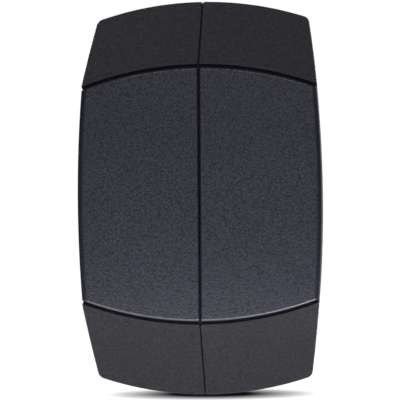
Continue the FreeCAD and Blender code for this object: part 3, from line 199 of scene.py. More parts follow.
rubLook = {
    "radius": 0.6 * mm,
    "turn": (0.995, 0.9),    # how far the rounded normal leaves the flat one
    "patchScale": 130.0,
    "patch": (0.4, 0.65),
}


# rounds hard edges and finds where they are rubbed
def makeEdgeRub():
    look = rubLook
    tree, come, go = groupTree("edgeRub", [("Radius", look["radius"]), ("Amount", 1.0)],
                               [("Normal", vectorKind), ("Rub", floatKind)])
    soft = addNode(tree, "ShaderNodeBevel", samples=4)
    tree.links.new(come.outputs["Radius"], soft.inputs["Radius"])
    flat = tree.nodes.new("ShaderNodeNewGeometry")
    apart = addNode(tree, "ShaderNodeVectorMath", operation="DOT_PRODUCT")
    tree.links.new(soft.outputs[0], apart.inputs[0])
    tree.links.new(flat.outputs["Normal"], apart.inputs[1])
    patchy = noise(tree, coordinates(tree, "Object"), look["patchScale"], 4.0, 0.65)
    edge = remap(tree, apart.outputs["Value"], *look["turn"])
    rub = mathNode(tree, "MULTIPLY", edge, remap(tree, patchy[0], *look["patch"]))
    rub = mathNode(tree, "MULTIPLY", rub, come.outputs["Amount"])
    tree.links.new(soft.outputs[0], go.inputs["Normal"])
    tree.links.new(rub, go.inputs["Rub"])
    return tree


dustLook = {
    "amount": 0.3,
    "lying": (0.5, 1.0),
    "speckScale": 60.0,
    "speck": (0.4, 0.75),
}


# grey dust that lies on what faces up
def makeSettledDust():
    look = dustLook
    tree, come, go = groupTree("settledDust", [("Amount", look["amount"])], [("Film", floatKind)])
    speck = noise(tree, coordinates(tree, "Object"), look["speckScale"], 6.0, 0.7)
    up = splitAxes(tree, coordinates(tree, "Normal"))["Z"]
    film = mathNode(tree, "MULTIPLY", remap(tree, up, *look["lying"]), remap(tree, speck[0], *look["speck"]))
    tree.links.new(mathNode(tree, "MULTIPLY", film, come.outputs["Amount"]), go.inputs["Film"])
    return tree


drawnLook = {
    "scale": 900.0,
    "stretch": (0.04, 1.0, 1.0),
    "streak": (0.35, 0.65),
}


# fine lines left along X by rolling or drawing
def makeDrawnLines():
    look = drawnLook
    tree, come, go = groupTree("drawnLines", [("Scale", look["scale"])],
                               [("Height", floatKind), ("Streak", floatKind)])
    lines = noise(tree, stretched(tree, look["stretch"]), come.outputs["Scale"], 3.0, 0.6)
    tree.links.new(lines[0], go.inputs["Height"])
    tree.links.new(remap(tree, lines[0], *look["streak"]), go.inputs["Streak"])
    return tree


leatherGrain = makeLeatherGrain()
mouldedSkin = makeMouldedSkin()
edgeRub = makeEdgeRub()
settledDust = makeSettledDust()
drawnLines = makeDrawnLines()
print("shader groups ready")


def newMaterial(name, **sockets):
    made = bpy.data.materials.new(name)
    made.use_nodes = True
    shader = made.node_tree.nodes["Principled BSDF"]
    for key, value in sockets.items():
        shader.inputs[key].default_value = value
    return made, made.node_tree, shader


def placeGroup(tree, group, **values):
    node = tree.nodes.new("ShaderNodeGroup")
    node.node_tree = group
    for key, value in values.items():
        node.inputs[key].default_value = value
    return node.outputs


def bumpInto(tree, shader, height, depth, normal=None):
    bump = addNode(tree, "ShaderNodeBump", Distance=depth)
    tree.links.new(height, bump.inputs["Height"])
    if normal:
        tree.links.new(normal, bump.inputs["Normal"])
    tree.links.new(bump.outputs[0], shader.inputs["Normal"])


def solid(color, level=1.0):
    return (*[c * level for c in color], 1)


moulding = {
    "mottleDark": 0.2,
    "rubLevel": 1.6,
    "rubLift": 0.035,
    "dustColor": (0.2, 0.19, 0.17),
    "dustDull": 0.3,
    "coatRough": 0.2,
    "coatIor": 1.9,
}


# depth and edge are in millimetres, rough is the shiniest and the dullest
def plastic(name, color, rough, skin=1500.0, depth=0.03, drift=1.2, rub=0.35, edge=0.6,
            dust=0.0, mottle=0.5, coat=0.0):
    m = moulding
    made, tree, shader = newMaterial(name)
    tooth = placeGroup(tree, mouldedSkin, Scale=skin)
    worn = placeGroup(tree, edgeRub, Radius=edge * mm, Amount=rub)
    tone = mixColors(tree, tooth["Drift"], solid(color), solid(color, drift))
    dark = mathNode(tree, "MULTIPLY", tooth["Mottle"], mottle)
    tone = mixColors(tree, dark, tone, solid(color, m["mottleDark"]))
    pale = [min(1.0, c * m["rubLevel"] + m["rubLift"]) for c in color]
    tone = mixColors(tree, worn["Rub"], tone, solid(pale))
    sheen = remap(tree, tooth["Mottle"], 0, 1, *rough)
    if dust:
        film = placeGroup(tree, settledDust, Amount=dust)["Film"]
        tone = mixColors(tree, film, tone, solid(m["dustColor"]))
        sheen = mathNode(tree, "MULTIPLY_ADD", film, m["dustDull"], sheen, clamp=True)
    if coat:    # glossy where the mottle isn't dark
        shader.inputs["Coat Roughness"].default_value = m["coatRough"]
        shader.inputs["Coat IOR"].default_value = m["coatIor"]
        gloss = mathNode(tree, "MULTIPLY_ADD", tooth["Mottle"], -coat, coat)
        tree.links.new(gloss, shader.inputs["Coat Weight"])
    tree.links.new(tone, shader.inputs["Base Color"])
    tree.links.new(sheen, shader.inputs["Roughness"])
    bumpInto(tree, shader, tooth["Height"], depth * mm, worn["Normal"])
    return made


coverSkin = {
    "color": (0.013, 0.0132, 0.027),
    "drift": 1.18,
    # painted shade in the grain's valleys: how much of it and how dark
    "valleyShadeShare": 0.6,
    "valleyShadeLevel": 0.4,
    "scale": 470.0,
    "depth": 0.46 * mm,
    "face": (0.86, 0.985),    # outward part of the normal, from rounded edge to grained face
    "faceRough": (0.44, 0.58),
    "edgeRough": 0.22,
    "edgeGloss": 0.95,
    "edgeSide": (0.2, 0.6),
    "edgeDown": -0.15,
    "pebble": (0.45, 0.85),
    "pebbleGloss": 0.2,
    "coatRough": 0.17,
    "coatIor": 2.6,
}


# grained faces with painted shade darkening the grain's valleys, and rounded edges that are smooth and shine
# along the bottom
def grainedPlastic(name):
    c = coverSkin
    made, tree, shader = newMaterial(name, **{"Coat Roughness": c["coatRough"], "Coat IOR": c["coatIor"]})
    grain = placeGroup(tree, leatherGrain, Scale=c["scale"])
    tooth = placeGroup(tree, mouldedSkin)
    axes = splitAxes(tree, coordinates(tree, "Normal"))
    face = remap(tree, axes["Y"], *c["face"])
    tone = mixColors(tree, tooth["Drift"], solid(c["color"]), solid(c["color"], c["drift"]))
    # painted shade: the base colour is darker in the grain's valleys on the face
    valleyShade = mathNode(tree, "MULTIPLY", grain["Valley"], mathNode(tree, "MULTIPLY", face, c["valleyShadeShare"]))
    tone = mixColors(tree, valleyShade, tone, solid(c["color"], c["valleyShadeLevel"]))
    tree.links.new(tone, shader.inputs["Base Color"])

    sideways = mathNode(tree, "ABSOLUTE", axes["X"])
    downward = remap(tree, axes["Z"], c["edgeDown"], 0.0, 1.0, 0.0)
    lowEdge = mathNode(tree, "MULTIPLY", downward, remap(tree, sideways, *c["edgeSide"], 1.0, 0.0))
    smooth = mathNode(tree, "MULTIPLY", mathNode(tree, "SUBTRACT", 1.0, face), lowEdge)
    rough = remap(tree, grain["Valley"], 0, 1, *c["faceRough"])
    tree.links.new(mixNumbers(tree, smooth, rough, c["edgeRough"]), shader.inputs["Roughness"])
    pebbles = mathNode(tree, "MULTIPLY", remap(tree, grain["Height"], *c["pebble"]), c["pebbleGloss"])
    edges = mathNode(tree, "MULTIPLY", smooth, c["edgeGloss"])
    tree.links.new(mathNode(tree, "MULTIPLY_ADD", face, pebbles, edges), shader.inputs["Coat Weight"])
    bumpInto(tree, shader, mathNode(tree, "MULTIPLY", grain["Height"], face), c["depth"])
    return made


metalSkin = {
    "toothScale": 500.0,
    "edge": 0.3 * mm,
    "drift": 0.82,
    "rubLevel": 1.35,
}


def metal(name, color, rough, lines=900.0, depth=0.02, rub=0.5):
    made, tree, shader = newMaterial(name, Metallic=1.0)
    drawn = placeGroup(tree, drawnLines, Scale=lines)
    tooth = placeGroup(tree, mouldedSkin, Scale=metalSkin["toothScale"])
    worn = placeGroup(tree, edgeRub, Radius=metalSkin["edge"], Amount=rub)
    tone = mixColors(tree, tooth["Drift"], solid(color), solid(color, metalSkin["drift"]))
    bright = [min(1.0, c * metalSkin["rubLevel"]) for c in color]
    tone = mixColors(tree, worn["Rub"], tone, solid(bright))
    tree.links.new(tone, shader.inputs["Base Color"])
    tree.links.new(remap(tree, drawn["Streak"], 0, 1, *rough), shader.inputs["Roughness"])
    bumpInto(tree, shader, drawn["Height"], depth * mm, worn["Normal"])
    return made


clearSkin = {
    "toothScale": 240.0,
    "drift": 0.93,
}


# clear and coloured mouldings
def clearPlastic(name, color, rough, through, ior, depth=0.004):
    made, tree, shader = newMaterial(name, **{"Transmission Weight": through, "IOR": ior})
    tooth = placeGroup(tree, mouldedSkin, Scale=clearSkin["toothScale"])
    tone = mixColors(tree, tooth["Drift"], solid(color), solid(color, clearSkin["drift"]))
    tree.links.new(tone, shader.inputs["Base Color"])
    tree.links.new(remap(tree, tooth["Mottle"], 0, 1, *rough), shader.inputs["Roughness"])
    bumpInto(tree, shader, tooth["Height"], depth * mm)
    return made


# one finish for each material slot
finishes = {
    "grained_black": grainedPlastic("coverGrain"),
    "casing_black": plastic("casingSatin", (0.0195, 0.0183, 0.0232), (0.36, 0.5), 1400.0, 0.05,
                            rub=0.15, mottle=0.9, coat=0.135),
    "frame_black": plastic("frameSatin", (0.017, 0.0168, 0.020), (0.4, 0.5), 1400.0, 0.05,
                           dust=0.2, coat=0.12),
    "matt_black": plastic("visorMatt", (0.010, 0.010, 0.011), (0.55, 0.66), 1100.0, 0.06, dust=0.35),
    "seal_rubber": plastic("sealRubber", (0.009, 0.009, 0.009), (0.72, 0.85), 800.0, 0.06, rub=0.0),
    "clear_lens": clearPlastic("lensClear", (0.93, 0.95, 0.95), (0.03, 0.06), 1.0, 1.49),
    "red_diffuser": clearPlastic("diffuserRed", (0.5, 0.012, 0.008), (0.16, 0.26), 0.0, 1.5, 0.02),
    "green_diffuser": clearPlastic("diffuserGreen", (0.0, 0.30, 0.13), (0.16, 0.26), 0.0, 1.5, 0.02),
    "cup_grey": plastic("cupGrey", (0.085, 0.086, 0.092), (0.42, 0.55), 1300.0, 0.04, dust=0.15),
    "circuit_board": plastic("solderMask", (0.008, 0.10, 0.04), (0.22, 0.34), 700.0, rub=0.1),
    "led_epoxy": clearPlastic("ledEpoxy", (0.86, 0.87, 0.86), (0.06, 0.12), 0.0, 1.55),
    "connector_white": plastic("nylonNatural", (0.62, 0.60, 0.52), (0.4, 0.5), 1300.0,
                               drift=1.1, rub=0.1),
    "bush_black": plastic("bushNylon", (0.015, 0.015, 0.015), (0.48, 0.6), 1000.0, 0.05, dust=0.25),
    "nut_metal": metal("nutCast", (0.46, 0.46, 0.48), (0.38, 0.55), 500.0, 0.05),
    "terminal_grey": plastic("terminalNylon", (0.30, 0.31, 0.32), (0.42, 0.52), 1300.0, drift=1.1),
    "driver_white": plastic("driverShell", (0.58, 0.58, 0.55), (0.38, 0.48), 1300.0, drift=1.08),
    "steel": metal("zincSteel", (0.42, 0.42, 0.43), (0.3, 0.46)),
}

slotOf = {row["node"]: row["material_slot"] for row in frame["record"]["subparts"]}
for name, node in nodes.items():
    node.data.materials.clear()
    node.data.materials.append(finishes[slotOf[name]])
print("finishes on", len(nodes), "nodes")


def middle(name):
    low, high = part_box(name)
    return (low + high) / 2


def vertsOf(geometry):
    return [v for v in geometry if isinstance(v, bmesh.types.BMVert)]


def edgesAmong(geometry, verts):
    return [e for e in geometry if isinstance(e, bmesh.types.BMEdge) and all(v in verts for v in e.verts)]


def turned(work, angle, axis, verts=None):
    bmesh.ops.rotate(work, verts=verts or work.verts, cent=(0, 0, 0), matrix=Matrix.Rotation(angle, 3, axis))


def closeHoles(work):
    bmesh.ops.holes_fill(work, edges=[e for e in work.edges if e.is_boundary], sides=0)


# a closed outline of (y, radius) spun about a line along Y
def spunRing(work, outline, steps):
    corners = [work.verts.new((0, y, r)) for y, r in outline]
    edges = [work.edges.new((a, b)) for a, b in zip(corners, corners[1:] + corners[:1])]
    bmesh.ops.spin(work, geom=corners + edges, cent=(0, 0, 0), axis=(0, 1, 0), angle=math.tau,
                   steps=steps, use_merge=True)


def finishPiece(name, work, body, slot, replaced, bevel=0.0, sharp=35.0):
    bmesh.ops.remove_doubles(work, verts=work.verts, dist=1e-6)
    bmesh.ops.recalc_face_normals(work, faces=work.faces)
    mesh = bpy.data.meshes.new(name)
    work.to_mesh(mesh)
    work.free()
    for face in mesh.polygons:
        face.use_smooth = True
    mesh.set_sharp_from_angle(angle=math.radians(sharp))
    mesh.materials.append(finishes[slot])
    piece = bpy.data.objects.new(name, mesh)
    bpy.context.collection.objects.link(piece)
    if bevel:
        softEdge = piece.modifiers.new("roundEdges", "BEVEL")
        softEdge.width = bevel
        softEdge.segments = 2
        softEdge.limit_method = "ANGLE"
        softEdge.angle_limit = math.radians(40)
        softEdge.harden_normals = True
    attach(piece, body)
    for node in replaced:
        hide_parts(node)
    return piece


visor = {
    "steps": 120,
    "radius": 105.0 * mm,
    "wall": 2.5 * mm,
    "beadRadius": 106.6 * mm,
    "beadLength": 4.0 * mm,
    "lipDepth": 1.9 * mm,
    "lipSteps": 6,
    "flangeRadius": 111.0 * mm,
    "flange": 3.0 * mm,
    "fillet": 1.2 * mm,
    "edge": 0.25 * mm,
    "earCount": 4,
    "earCircle": 114.0 * mm,
    "earRadius": 6.5 * mm,
    "earTaper": 0.5 * mm,
    "earSegments": 28,
    "ribPitch": 6.0 * mm,
    "ribWidth": 1.6 * mm,
    "ribHeight": 0.5 * mm,
    "ribSlope": 0.4 * mm,
    "ribsFromBead": 2.0 * mm,
    "ribsFromBase": 8.0 * mm,
    "cutStart": 18.0 * mm,
    "cutBelow": 110.0 * mm,
    "cutPast": 5.0 * mm,
    "cutRise": 14.0 * mm,
}


def visorOutline(tip, base):
    v = visor
    inner = v["radius"] - v["wall"]
    flangeFace = base - v["flange"]
    beadEnd = tip + v["beadLength"]
    outline = [(base, v["flangeRadius"]), (flangeFace, v["flangeRadius"]),
               (flangeFace, v["radius"] + v["fillet"]), (flangeFace - v["fillet"], v["radius"]),
               (beadEnd + v["fillet"], v["radius"]), (beadEnd, v["beadRadius"])]
    lipMiddle, lipHalf = (v["beadRadius"] + inner) / 2, (v["beadRadius"] - inner) / 2
    for i in range(1, v["lipSteps"]):    # rolled lip at the mouth
        swing = math.pi * i / v["lipSteps"]
        outline.append((tip + v["lipDepth"] * (1 - math.sin(swing)), lipMiddle + lipHalf * math.cos(swing)))
    y = beadEnd + v["ribsFromBead"]
    crest = inner - v["ribHeight"]
    while y < base - v["ribsFromBase"]:    # fine ribs that break up glare inside
        far = y + v["ribWidth"]
        outline += [(y, inner), (y + v["ribSlope"], crest), (far - v["ribSlope"], crest), (far, inner)]
        y += v["ribPitch"]
    outline.append((base, inner))
    return outline


def makeVisor(name, node, body):
    v = visor
    low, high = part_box(node)
    base, tip = high.y, low.y
    work = bmesh.new()
    spunRing(work, visorOutline(tip, base), v["steps"])
    start = Vector((0, base - v["cutStart"], -v["cutBelow"]))
    finish = Vector((0, tip - v["cutPast"], v["cutRise"]))
    run = finish - start
    bmesh.ops.bisect_plane(work, geom=work.verts[:] + work.edges[:] + work.faces[:], plane_co=start,
                           plane_no=(0, -run.z, run.y), clear_outer=True)
    closeHoles(work)
    for i in range(v["earCount"]):
        angle = math.tau * (i + 0.5) / v["earCount"]
        ear = bmesh.ops.create_cone(work, cap_ends=True, segments=v["earSegments"], radius1=v["earRadius"],
                                    radius2=v["earRadius"] - v["earTaper"], depth=v["flange"])["verts"]
        turned(work, math.pi / 2, "X", ear)
        place = (v["earCircle"] * math.cos(angle), base - v["flange"] / 2, v["earCircle"] * math.sin(angle))
        bmesh.ops.translate(work, verts=ear, vec=place)
    bmesh.ops.translate(work, verts=work.verts, vec=(0, 0, middle(node).z))
    return finishPiece(name, work, body, "matt_black", [node], bevel=v["edge"])


for level in ("upper", "lower"):
    makeVisor(level + "VisorHood", level + "_visor", level + "_lamp")
print("visors made")


disc = {
    "segments": 96,
    "pitch": 4.0 * mm,
    "cut": 4,    # grid lines for each pillow
    "relief": 0.7 * mm,
    "crestPower": 0.6,
    "valleyShadeShare": 0.04,
    "crestShare": 0.9,
    "halfWidth": 38.0 * mm,
    "halfHeight": 76.0 * mm,
    "skirt": 0.3 * mm,
    "edge": 0.4 * mm,
}


# a round plate with a beaded window behind the figure
def makeDisc(name, node, body, slot):
    d = disc
    low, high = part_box(node)
    valley = low.y + d["relief"]
    work = bmesh.new()
    plate = bmesh.ops.create_circle(work, cap_ends=True, segments=d["segments"],
                                    radius=(high.x - low.x) / 2)["verts"]
    turned(work, math.pi / 2, "X", plate)
    bmesh.ops.translate(work, verts=plate, vec=(0, high.y, 0))
    fresh = vertsOf(bmesh.ops.extrude_face_region(work, geom=work.faces[:])["geom"])
    bmesh.ops.translate(work, verts=fresh, vec=(0, valley - high.y, 0))
    rim = [e for e in work.edges if len(e.link_faces) == 2 and e.calc_face_angle() > 1]
    bmesh.ops.bevel(work, geom=rim, affect="EDGES", offset=d["edge"], segments=2, profile=0.5, material=-1)
    across = 2 * round(d["halfWidth"] / d["pitch"])
    up = 2 * round(d["halfHeight"] / d["pitch"])
    grid = bmesh.ops.create_grid(work, x_segments=across * d["cut"], y_segments=up * d["cut"],
                                 size=0.5)["verts"]
    for v in grid:    # pillows, crest to valley, one for each pitch
        u, w = v.co.x * across, v.co.y * up
        crest = abs(math.sin(math.pi * u)) ** d["crestPower"] * abs(math.sin(math.pi * w)) ** d["crestPower"]
        raised = d["relief"] * (d["valleyShadeShare"] + d["crestShare"] * crest)
        v.co = (u * d["pitch"], valley - raised, w * d["pitch"])
    outer = [e for e in edgesAmong(work.edges, set(grid)) if e.is_boundary]
    for v in vertsOf(bmesh.ops.extrude_edge_only(work, edges=outer)["geom"]):
        v.co.y = valley + d["skirt"]
    closeHoles(work)
    bmesh.ops.translate(work, verts=work.verts, vec=(0, 0, middle(node).z))
    return finishPiece(name, work, body, slot, [node], sharp=60)


makeDisc("upperRedDisc", "upper_diffuser", "upper_lamp", "red_diffuser")
makeDisc("lowerGreenDisc", "lower_diffuser", "lower_lamp", "green_diffuser")
print("coloured discs made")


knob = {
    "flutes": 18,
    "fluteSteps": 6,
    "fluteCut": 0.7 * mm,
    "radius": 12.0 * mm,
    "height": 4.0 * mm,
    "lidEdge": 0.9 * mm,
    "wingLength": 21.0 * mm,
    "wingWidth": 6.0 * mm,
    "wingHeight": 8.0 * mm,
    "wingSink": 1.0 * mm,
    "wingEdge": 1.1 * mm,
    "crestWidth": 0.72,
    "crestLength": 0.86,
    "dishRim": 1.5 * mm,
    "dishDepth": 0.6 * mm,
    "shaft": 4.0 * mm,
    "shaftSegments": 32,
}


def makeKnob(name, node, body):
    k = knob
    low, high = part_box(node)
    centre = middle(node)
    tip = low.y
    seat = tip + k["wingHeight"] + k["height"]
    work = bmesh.new()
    rim = bmesh.ops.create_circle(work, cap_ends=True, segments=k["flutes"] * k["fluteSteps"],
                                  radius=k["radius"])["verts"]
    for v in rim:
        angle = math.atan2(v.co.y, v.co.x)
        v.co *= 1 - k["fluteCut"] / k["radius"] * (0.5 - 0.5 * math.cos(angle * k["flutes"])) ** 2
    turned(work, math.pi / 2, "X", rim)
    bmesh.ops.translate(work, verts=rim, vec=(0, seat, 0))
    crown = vertsOf(bmesh.ops.extrude_face_region(work, geom=work.faces[:])["geom"])
    bmesh.ops.translate(work, verts=crown, vec=(0, -k["height"], 0))
    lid = edgesAmong(work.edges, set(crown))
    bmesh.ops.bevel(work, geom=lid, affect="EDGES", offset=k["lidEdge"], segments=3, profile=0.5, material=-1)

    wing = bmesh.ops.create_cube(work, size=1.0)["verts"]
    for v in wing:    # thinner and shorter towards the fingers
        crest = v.co.y < 0
        v.co.x *= k["wingWidth"] * (k["crestWidth"] if crest else 1.0)
        v.co.z *= k["wingLength"] * (k["crestLength"] if crest else 1.0)
        v.co.y = tip if crest else seat - k["wingSink"]
    sides = [f for f in work.faces if all(v in wing for v in f.verts) and abs(f.normal.x) > 0.8]
    bmesh.ops.inset_individual(work, faces=sides, thickness=k["dishRim"], depth=0.0)
    for f in sides:
        inward = -math.copysign(k["dishDepth"], f.calc_center_median().x)
        bmesh.ops.translate(work, verts=f.verts, vec=(inward, 0, 0))
    bmesh.ops.bevel(work, geom=edgesAmong(work.edges, wing), affect="EDGES", offset=k["wingEdge"], segments=3,
                    profile=0.5, material=-1)

    stemStart = seat - k["wingSink"]
    stem = bmesh.ops.create_cone(work, cap_ends=True, segments=k["shaftSegments"], radius1=k["shaft"],
                                 radius2=k["shaft"], depth=high.y - stemStart)["verts"]
    turned(work, math.pi / 2, "X", stem)
    bmesh.ops.translate(work, verts=stem, vec=(0, (high.y + stemStart) / 2, 0))
    bmesh.ops.translate(work, verts=work.verts, vec=(centre.x, 0, centre.z))
    return finishPiece(name, work, body, "frame_black", [node])


for level in ("upper", "lower"):
    for place in ("outer", "inner"):
        makeKnob(f"{level}{place.title()}WingKnob", f"{level}_latch_{place}_knob", f"{level}_{place}_latch")
print("knobs made")


panScrew = {
    "headRadius": 3.8 * mm,
    "headHeight": 2.6 * mm,
    "headSegments": 12,
    "topShare": 0.78,    # flat top, as a share of the head's radius
    "crown": ((0.93, 0.86), (1.0, 0.55), (1.0, 0.0)),    # shares of the radius and the height, going down
    "shankRadius": 2.0 * mm,
    "crossArm": 1.9 * mm,
    "crossHalf": 0.45 * mm,
    "crossDepth": 1.3 * mm,
    "crossTaper": 0.6,
    "firstTwist": 0.4,
    "nextTwist": 1.1,
}


# a pan head facing -Y with a cross recess, its underside at y = 0
def addPanScrew(work, place, length, twist):
    p = panScrew
    before = set(work.verts)
    arm, half = p["crossArm"], p["crossHalf"]
    tops = []
    for quarter in range(4):
        for x, z in ((half, half), (arm, half), (arm, -half)):
            spot = Matrix.Rotation(-math.pi / 2 * quarter, 2) @ Vector((x, z))
            tops.append(work.verts.new((spot.x, -p["headHeight"], spot.y)))
    cross = [work.edges.new((a, b)) for a, b in zip(tops, tops[1:] + tops[:1])]
    count, flat = p["headSegments"], p["headRadius"] * p["topShare"]
    swings = [math.pi / 4 - math.tau * i / count for i in range(count)]
    ring = [work.verts.new((flat * math.cos(t), -p["headHeight"], flat * math.sin(t))) for t in swings]
    rim = [work.edges.new((a, b)) for a, b in zip(ring, ring[1:] + ring[:1])]
    bmesh.ops.bridge_loops(work, edges=cross + rim)
    pit = bmesh.ops.extrude_edge_only(work, edges=cross)["geom"]
    pitVerts = vertsOf(pit)
    for v in pitVerts:
        v.co = (v.co.x * p["crossTaper"], v.co.y + p["crossDepth"], v.co.z * p["crossTaper"])
    bmesh.ops.contextual_create(work, geom=edgesAmong(pit, pitVerts))
    edges = rim
    levels = [(p["headRadius"] * across, -p["headHeight"] * up) for across, up in p["crown"]]
    for radius, y in levels + [(p["shankRadius"], 0.0), (p["shankRadius"], length)]:
        grown = bmesh.ops.extrude_edge_only(work, edges=edges)["geom"]
        verts = vertsOf(grown)
        for v in verts:
            spot = Vector((v.co.x, v.co.z)).normalized() * radius
            v.co = (spot.x, y, spot.y)
        edges = edgesAmong(grown, verts)
    bmesh.ops.contextual_create(work, geom=edges)
    made = [v for v in work.verts if v not in before]
    turned(work, twist, "Y", made)
    bmesh.ops.translate(work, verts=made, vec=place)


# one screw in each corner of the node's box
def makeVisorScrews(name, node, body):
    p = panScrew
    low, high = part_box(node)
    work = bmesh.new()
    seat = low.y + p["headHeight"]
    inset = p["headRadius"]
    corners = [(x, z) for x in (low.x + inset, high.x - inset) for z in (low.z + inset, high.z - inset)]
    for i, (x, z) in enumerate(corners):
        addPanScrew(work, (x, seat, z), high.y - seat, p["firstTwist"] + p["nextTwist"] * i)
    return finishPiece(name, work, body, "steel", [node], sharp=32)


for level in ("upper", "lower"):
    makeVisorScrews(level + "VisorPanScrews", level + "_visor_screws", level + "_lamp")
print("screws made")


ventPlug = {
    "seatAbove": 4.5 * mm,    # from the node's underside to the casing
    "proud": 1.6 * mm,
    "overlap": 0.4 * mm,
    "headRadius": 9.0 * mm,
    "headEdge": 0.8 * mm,
    "neckRadius": 6.0 * mm,
    "bore": 1.5 * mm,
    "boreRim": 1.2 * mm,
    "boreSlope": 0.4 * mm,
    "groove": 0.7 * mm,
    "grooveShares": (0.55, 0.6),    # of the head's radius, floor and lip
    "steps": 48,
    "flats": 24,
    "fluteShare": 0.025,
}


def makeVentPlug(name, node):
    low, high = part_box(node)
    v = ventPlug
    head = low.z + v["seatAbove"] - v["proud"]
    floor, back = head + v["groove"], head + v["proud"] + v["overlap"]
    inner, outer = [v["headRadius"] * share for share in v["grooveShares"]]
    outline = [(head, v["bore"]), (head, v["bore"] + v["boreRim"]),
               (floor, v["bore"] + v["boreRim"] + v["boreSlope"]), (floor, inner), (head, outer),
               (head, v["headRadius"] - v["headEdge"]), (floor, v["headRadius"]),
               (back, v["headRadius"]), (back, v["neckRadius"]),
               (high.z, v["neckRadius"]), (high.z, v["bore"])]
    work = bmesh.new()
    spunRing(work, outline, v["steps"])
    for vert in work.verts:    # gripping flutes round the head
        out = Vector((vert.co.x, vert.co.z))
        if out.length > v["headRadius"] - 0.1 * mm and math.cos(math.atan2(out.y, out.x) * v["flats"]) < 0:
            vert.co.x *= 1 - v["fluteShare"]
            vert.co.z *= 1 - v["fluteShare"]
    turned(work, math.pi / 2, "X")
    bmesh.ops.translate(work, verts=work.verts, vec=(middle(node).x, 0, 0))
    return finishPiece(name, work, "housing", "bush_black", [node])


makeVentPlug("drainPlug", "vent_plug")
print("drain plug made")


coverSeal = {
    "halfHeight": 158.7 * mm,
    "arch": 415.0 * mm,
    "halfWidth": 151.0 * mm,
    "sideArch": 1640.0 * mm,
    "thick": 1.25 * mm,
    "sideGap": 0.1 * mm,
    "seatY": 128.3 * mm,
    "turnDrop": 3.0 * mm,
    "lowY": 110.0 * mm,
    "points": 40,
    "around": 8,
}


# a cord along the arch of a groove, turned down into the casing at both ends
def sealRoute(mid, way):
    c = coverSeal

    def archHeight(x):
        return c["halfHeight"] - c["arch"] + math.sqrt(c["arch"] ** 2 - x ** 2)

    reach = c["halfWidth"]
    for _ in range(3):    # where the arch meets the body's side
        side = math.sqrt(c["sideArch"] ** 2 - archHeight(reach) ** 2) - c["sideArch"]
        reach = c["halfWidth"] + side - c["thick"] - c["sideGap"]
    route = []
    for i in range(c["points"] + 1):
        x = reach * (2 * i / c["points"] - 1)
        route.append(Vector((x, c["seatY"], mid + way * archHeight(x))))
    first, last = route[0], route[-1]
    depths = (c["lowY"], c["seatY"] - c["turnDrop"])
    route = [Vector((first.x, y, first.z)) for y in depths] + route
    return route + [Vector((last.x, y, last.z)) for y in reversed(depths)]


def makeCoverSeal(name, way):
    c = coverSeal
    route = sealRoute(middle("front_frame").z, way)
    work = bmesh.new()
    rings = []
    for i, spot in enumerate(route):
        ahead = (route[min(i + 1, len(route) - 1)] - route[max(i - 1, 0)]).normalized()
        hoop = bmesh.ops.create_circle(work, cap_ends=i in (0, len(route) - 1), segments=c["around"],
                                       radius=c["thick"])["verts"]
        facing = ahead.to_track_quat("Z", "Y").to_matrix()
        bmesh.ops.rotate(work, verts=hoop, cent=(0, 0, 0), matrix=facing)
        bmesh.ops.translate(work, verts=hoop, vec=spot)
        rings.append(edgesAmong(work.edges, hoop))
    for a, b in zip(rings, rings[1:]):
        bmesh.ops.bridge_loops(work, edges=a + b)
    return finishPiece(name, work, "housing", "seal_rubber", [], sharp=70)


makeCoverSeal("upperCoverCord", 1)
makeCoverSeal("lowerCoverCord", -1)
print("cover seals made")


floorPaper = {
    "size": 30.0,
    "level": -0.6 * mm,
    "base": (0.05, 0.05, 0.05),
    "rough": 0.9,
    "shadowMiddle": (-0.006, 0.02),
    "shadowSize": (0.135, 0.13),
    "shadowCore": 0.36,
    "shadowFade": 1.4,
    "light": 0.62,
    "sideLight": 0.1,
    "sides": (0.3, 0.9),
}

studio = {
    "tint": (0.955, 0.965, 1.08),
    "white": (1, 1, 1),
    "worldLight": 0.34,
    "backLight": 0.1,
    "back": (-0.72, -0.93),
    "sides": (0.45, 0.95),
    "sideShare": 0.15,
    "cameraDistance": 2.232,
    "cameraTurn": 4.068,
    "cameraDrop": 2.611,
    "cameraRoll": -0.4,
    "lens": 163.93,
    "sensor": 36.0,
    "clip": 100.0,
    "aim": (-0.001, 0.134, 0.243),
}

# size, place, target and power of each soft light
softLights = {
    "lowCard": ((0.9, 0.7), (-0.05, 0.85, 0.01), (-0.02, 0.13, 0.2), 0.4),
    "edgeCard": ((0.55, 0.1), (-0.035, 0.25, 0.004), (-0.02, 0.13, 0.09), 0.74),
    "cameraSoft": ((1.6, 1.0), (0.0, 2.6, 1.9), (0, 0.1, 0.25), 13),
    "sideCard": ((0.2, 0.11), (-0.26, -0.6, 0.056), (-0.15, 0.05, 0.06), 0.3),
    "frontHigh": ((1.6, 1.2), (0.9, -2.4, 1.5), (0, 0, 0.25), 48),
    "frontSide": ((1.0, 1.6), (-1.9, -1.7, 0.8), (0, 0, 0.25), 20),
}


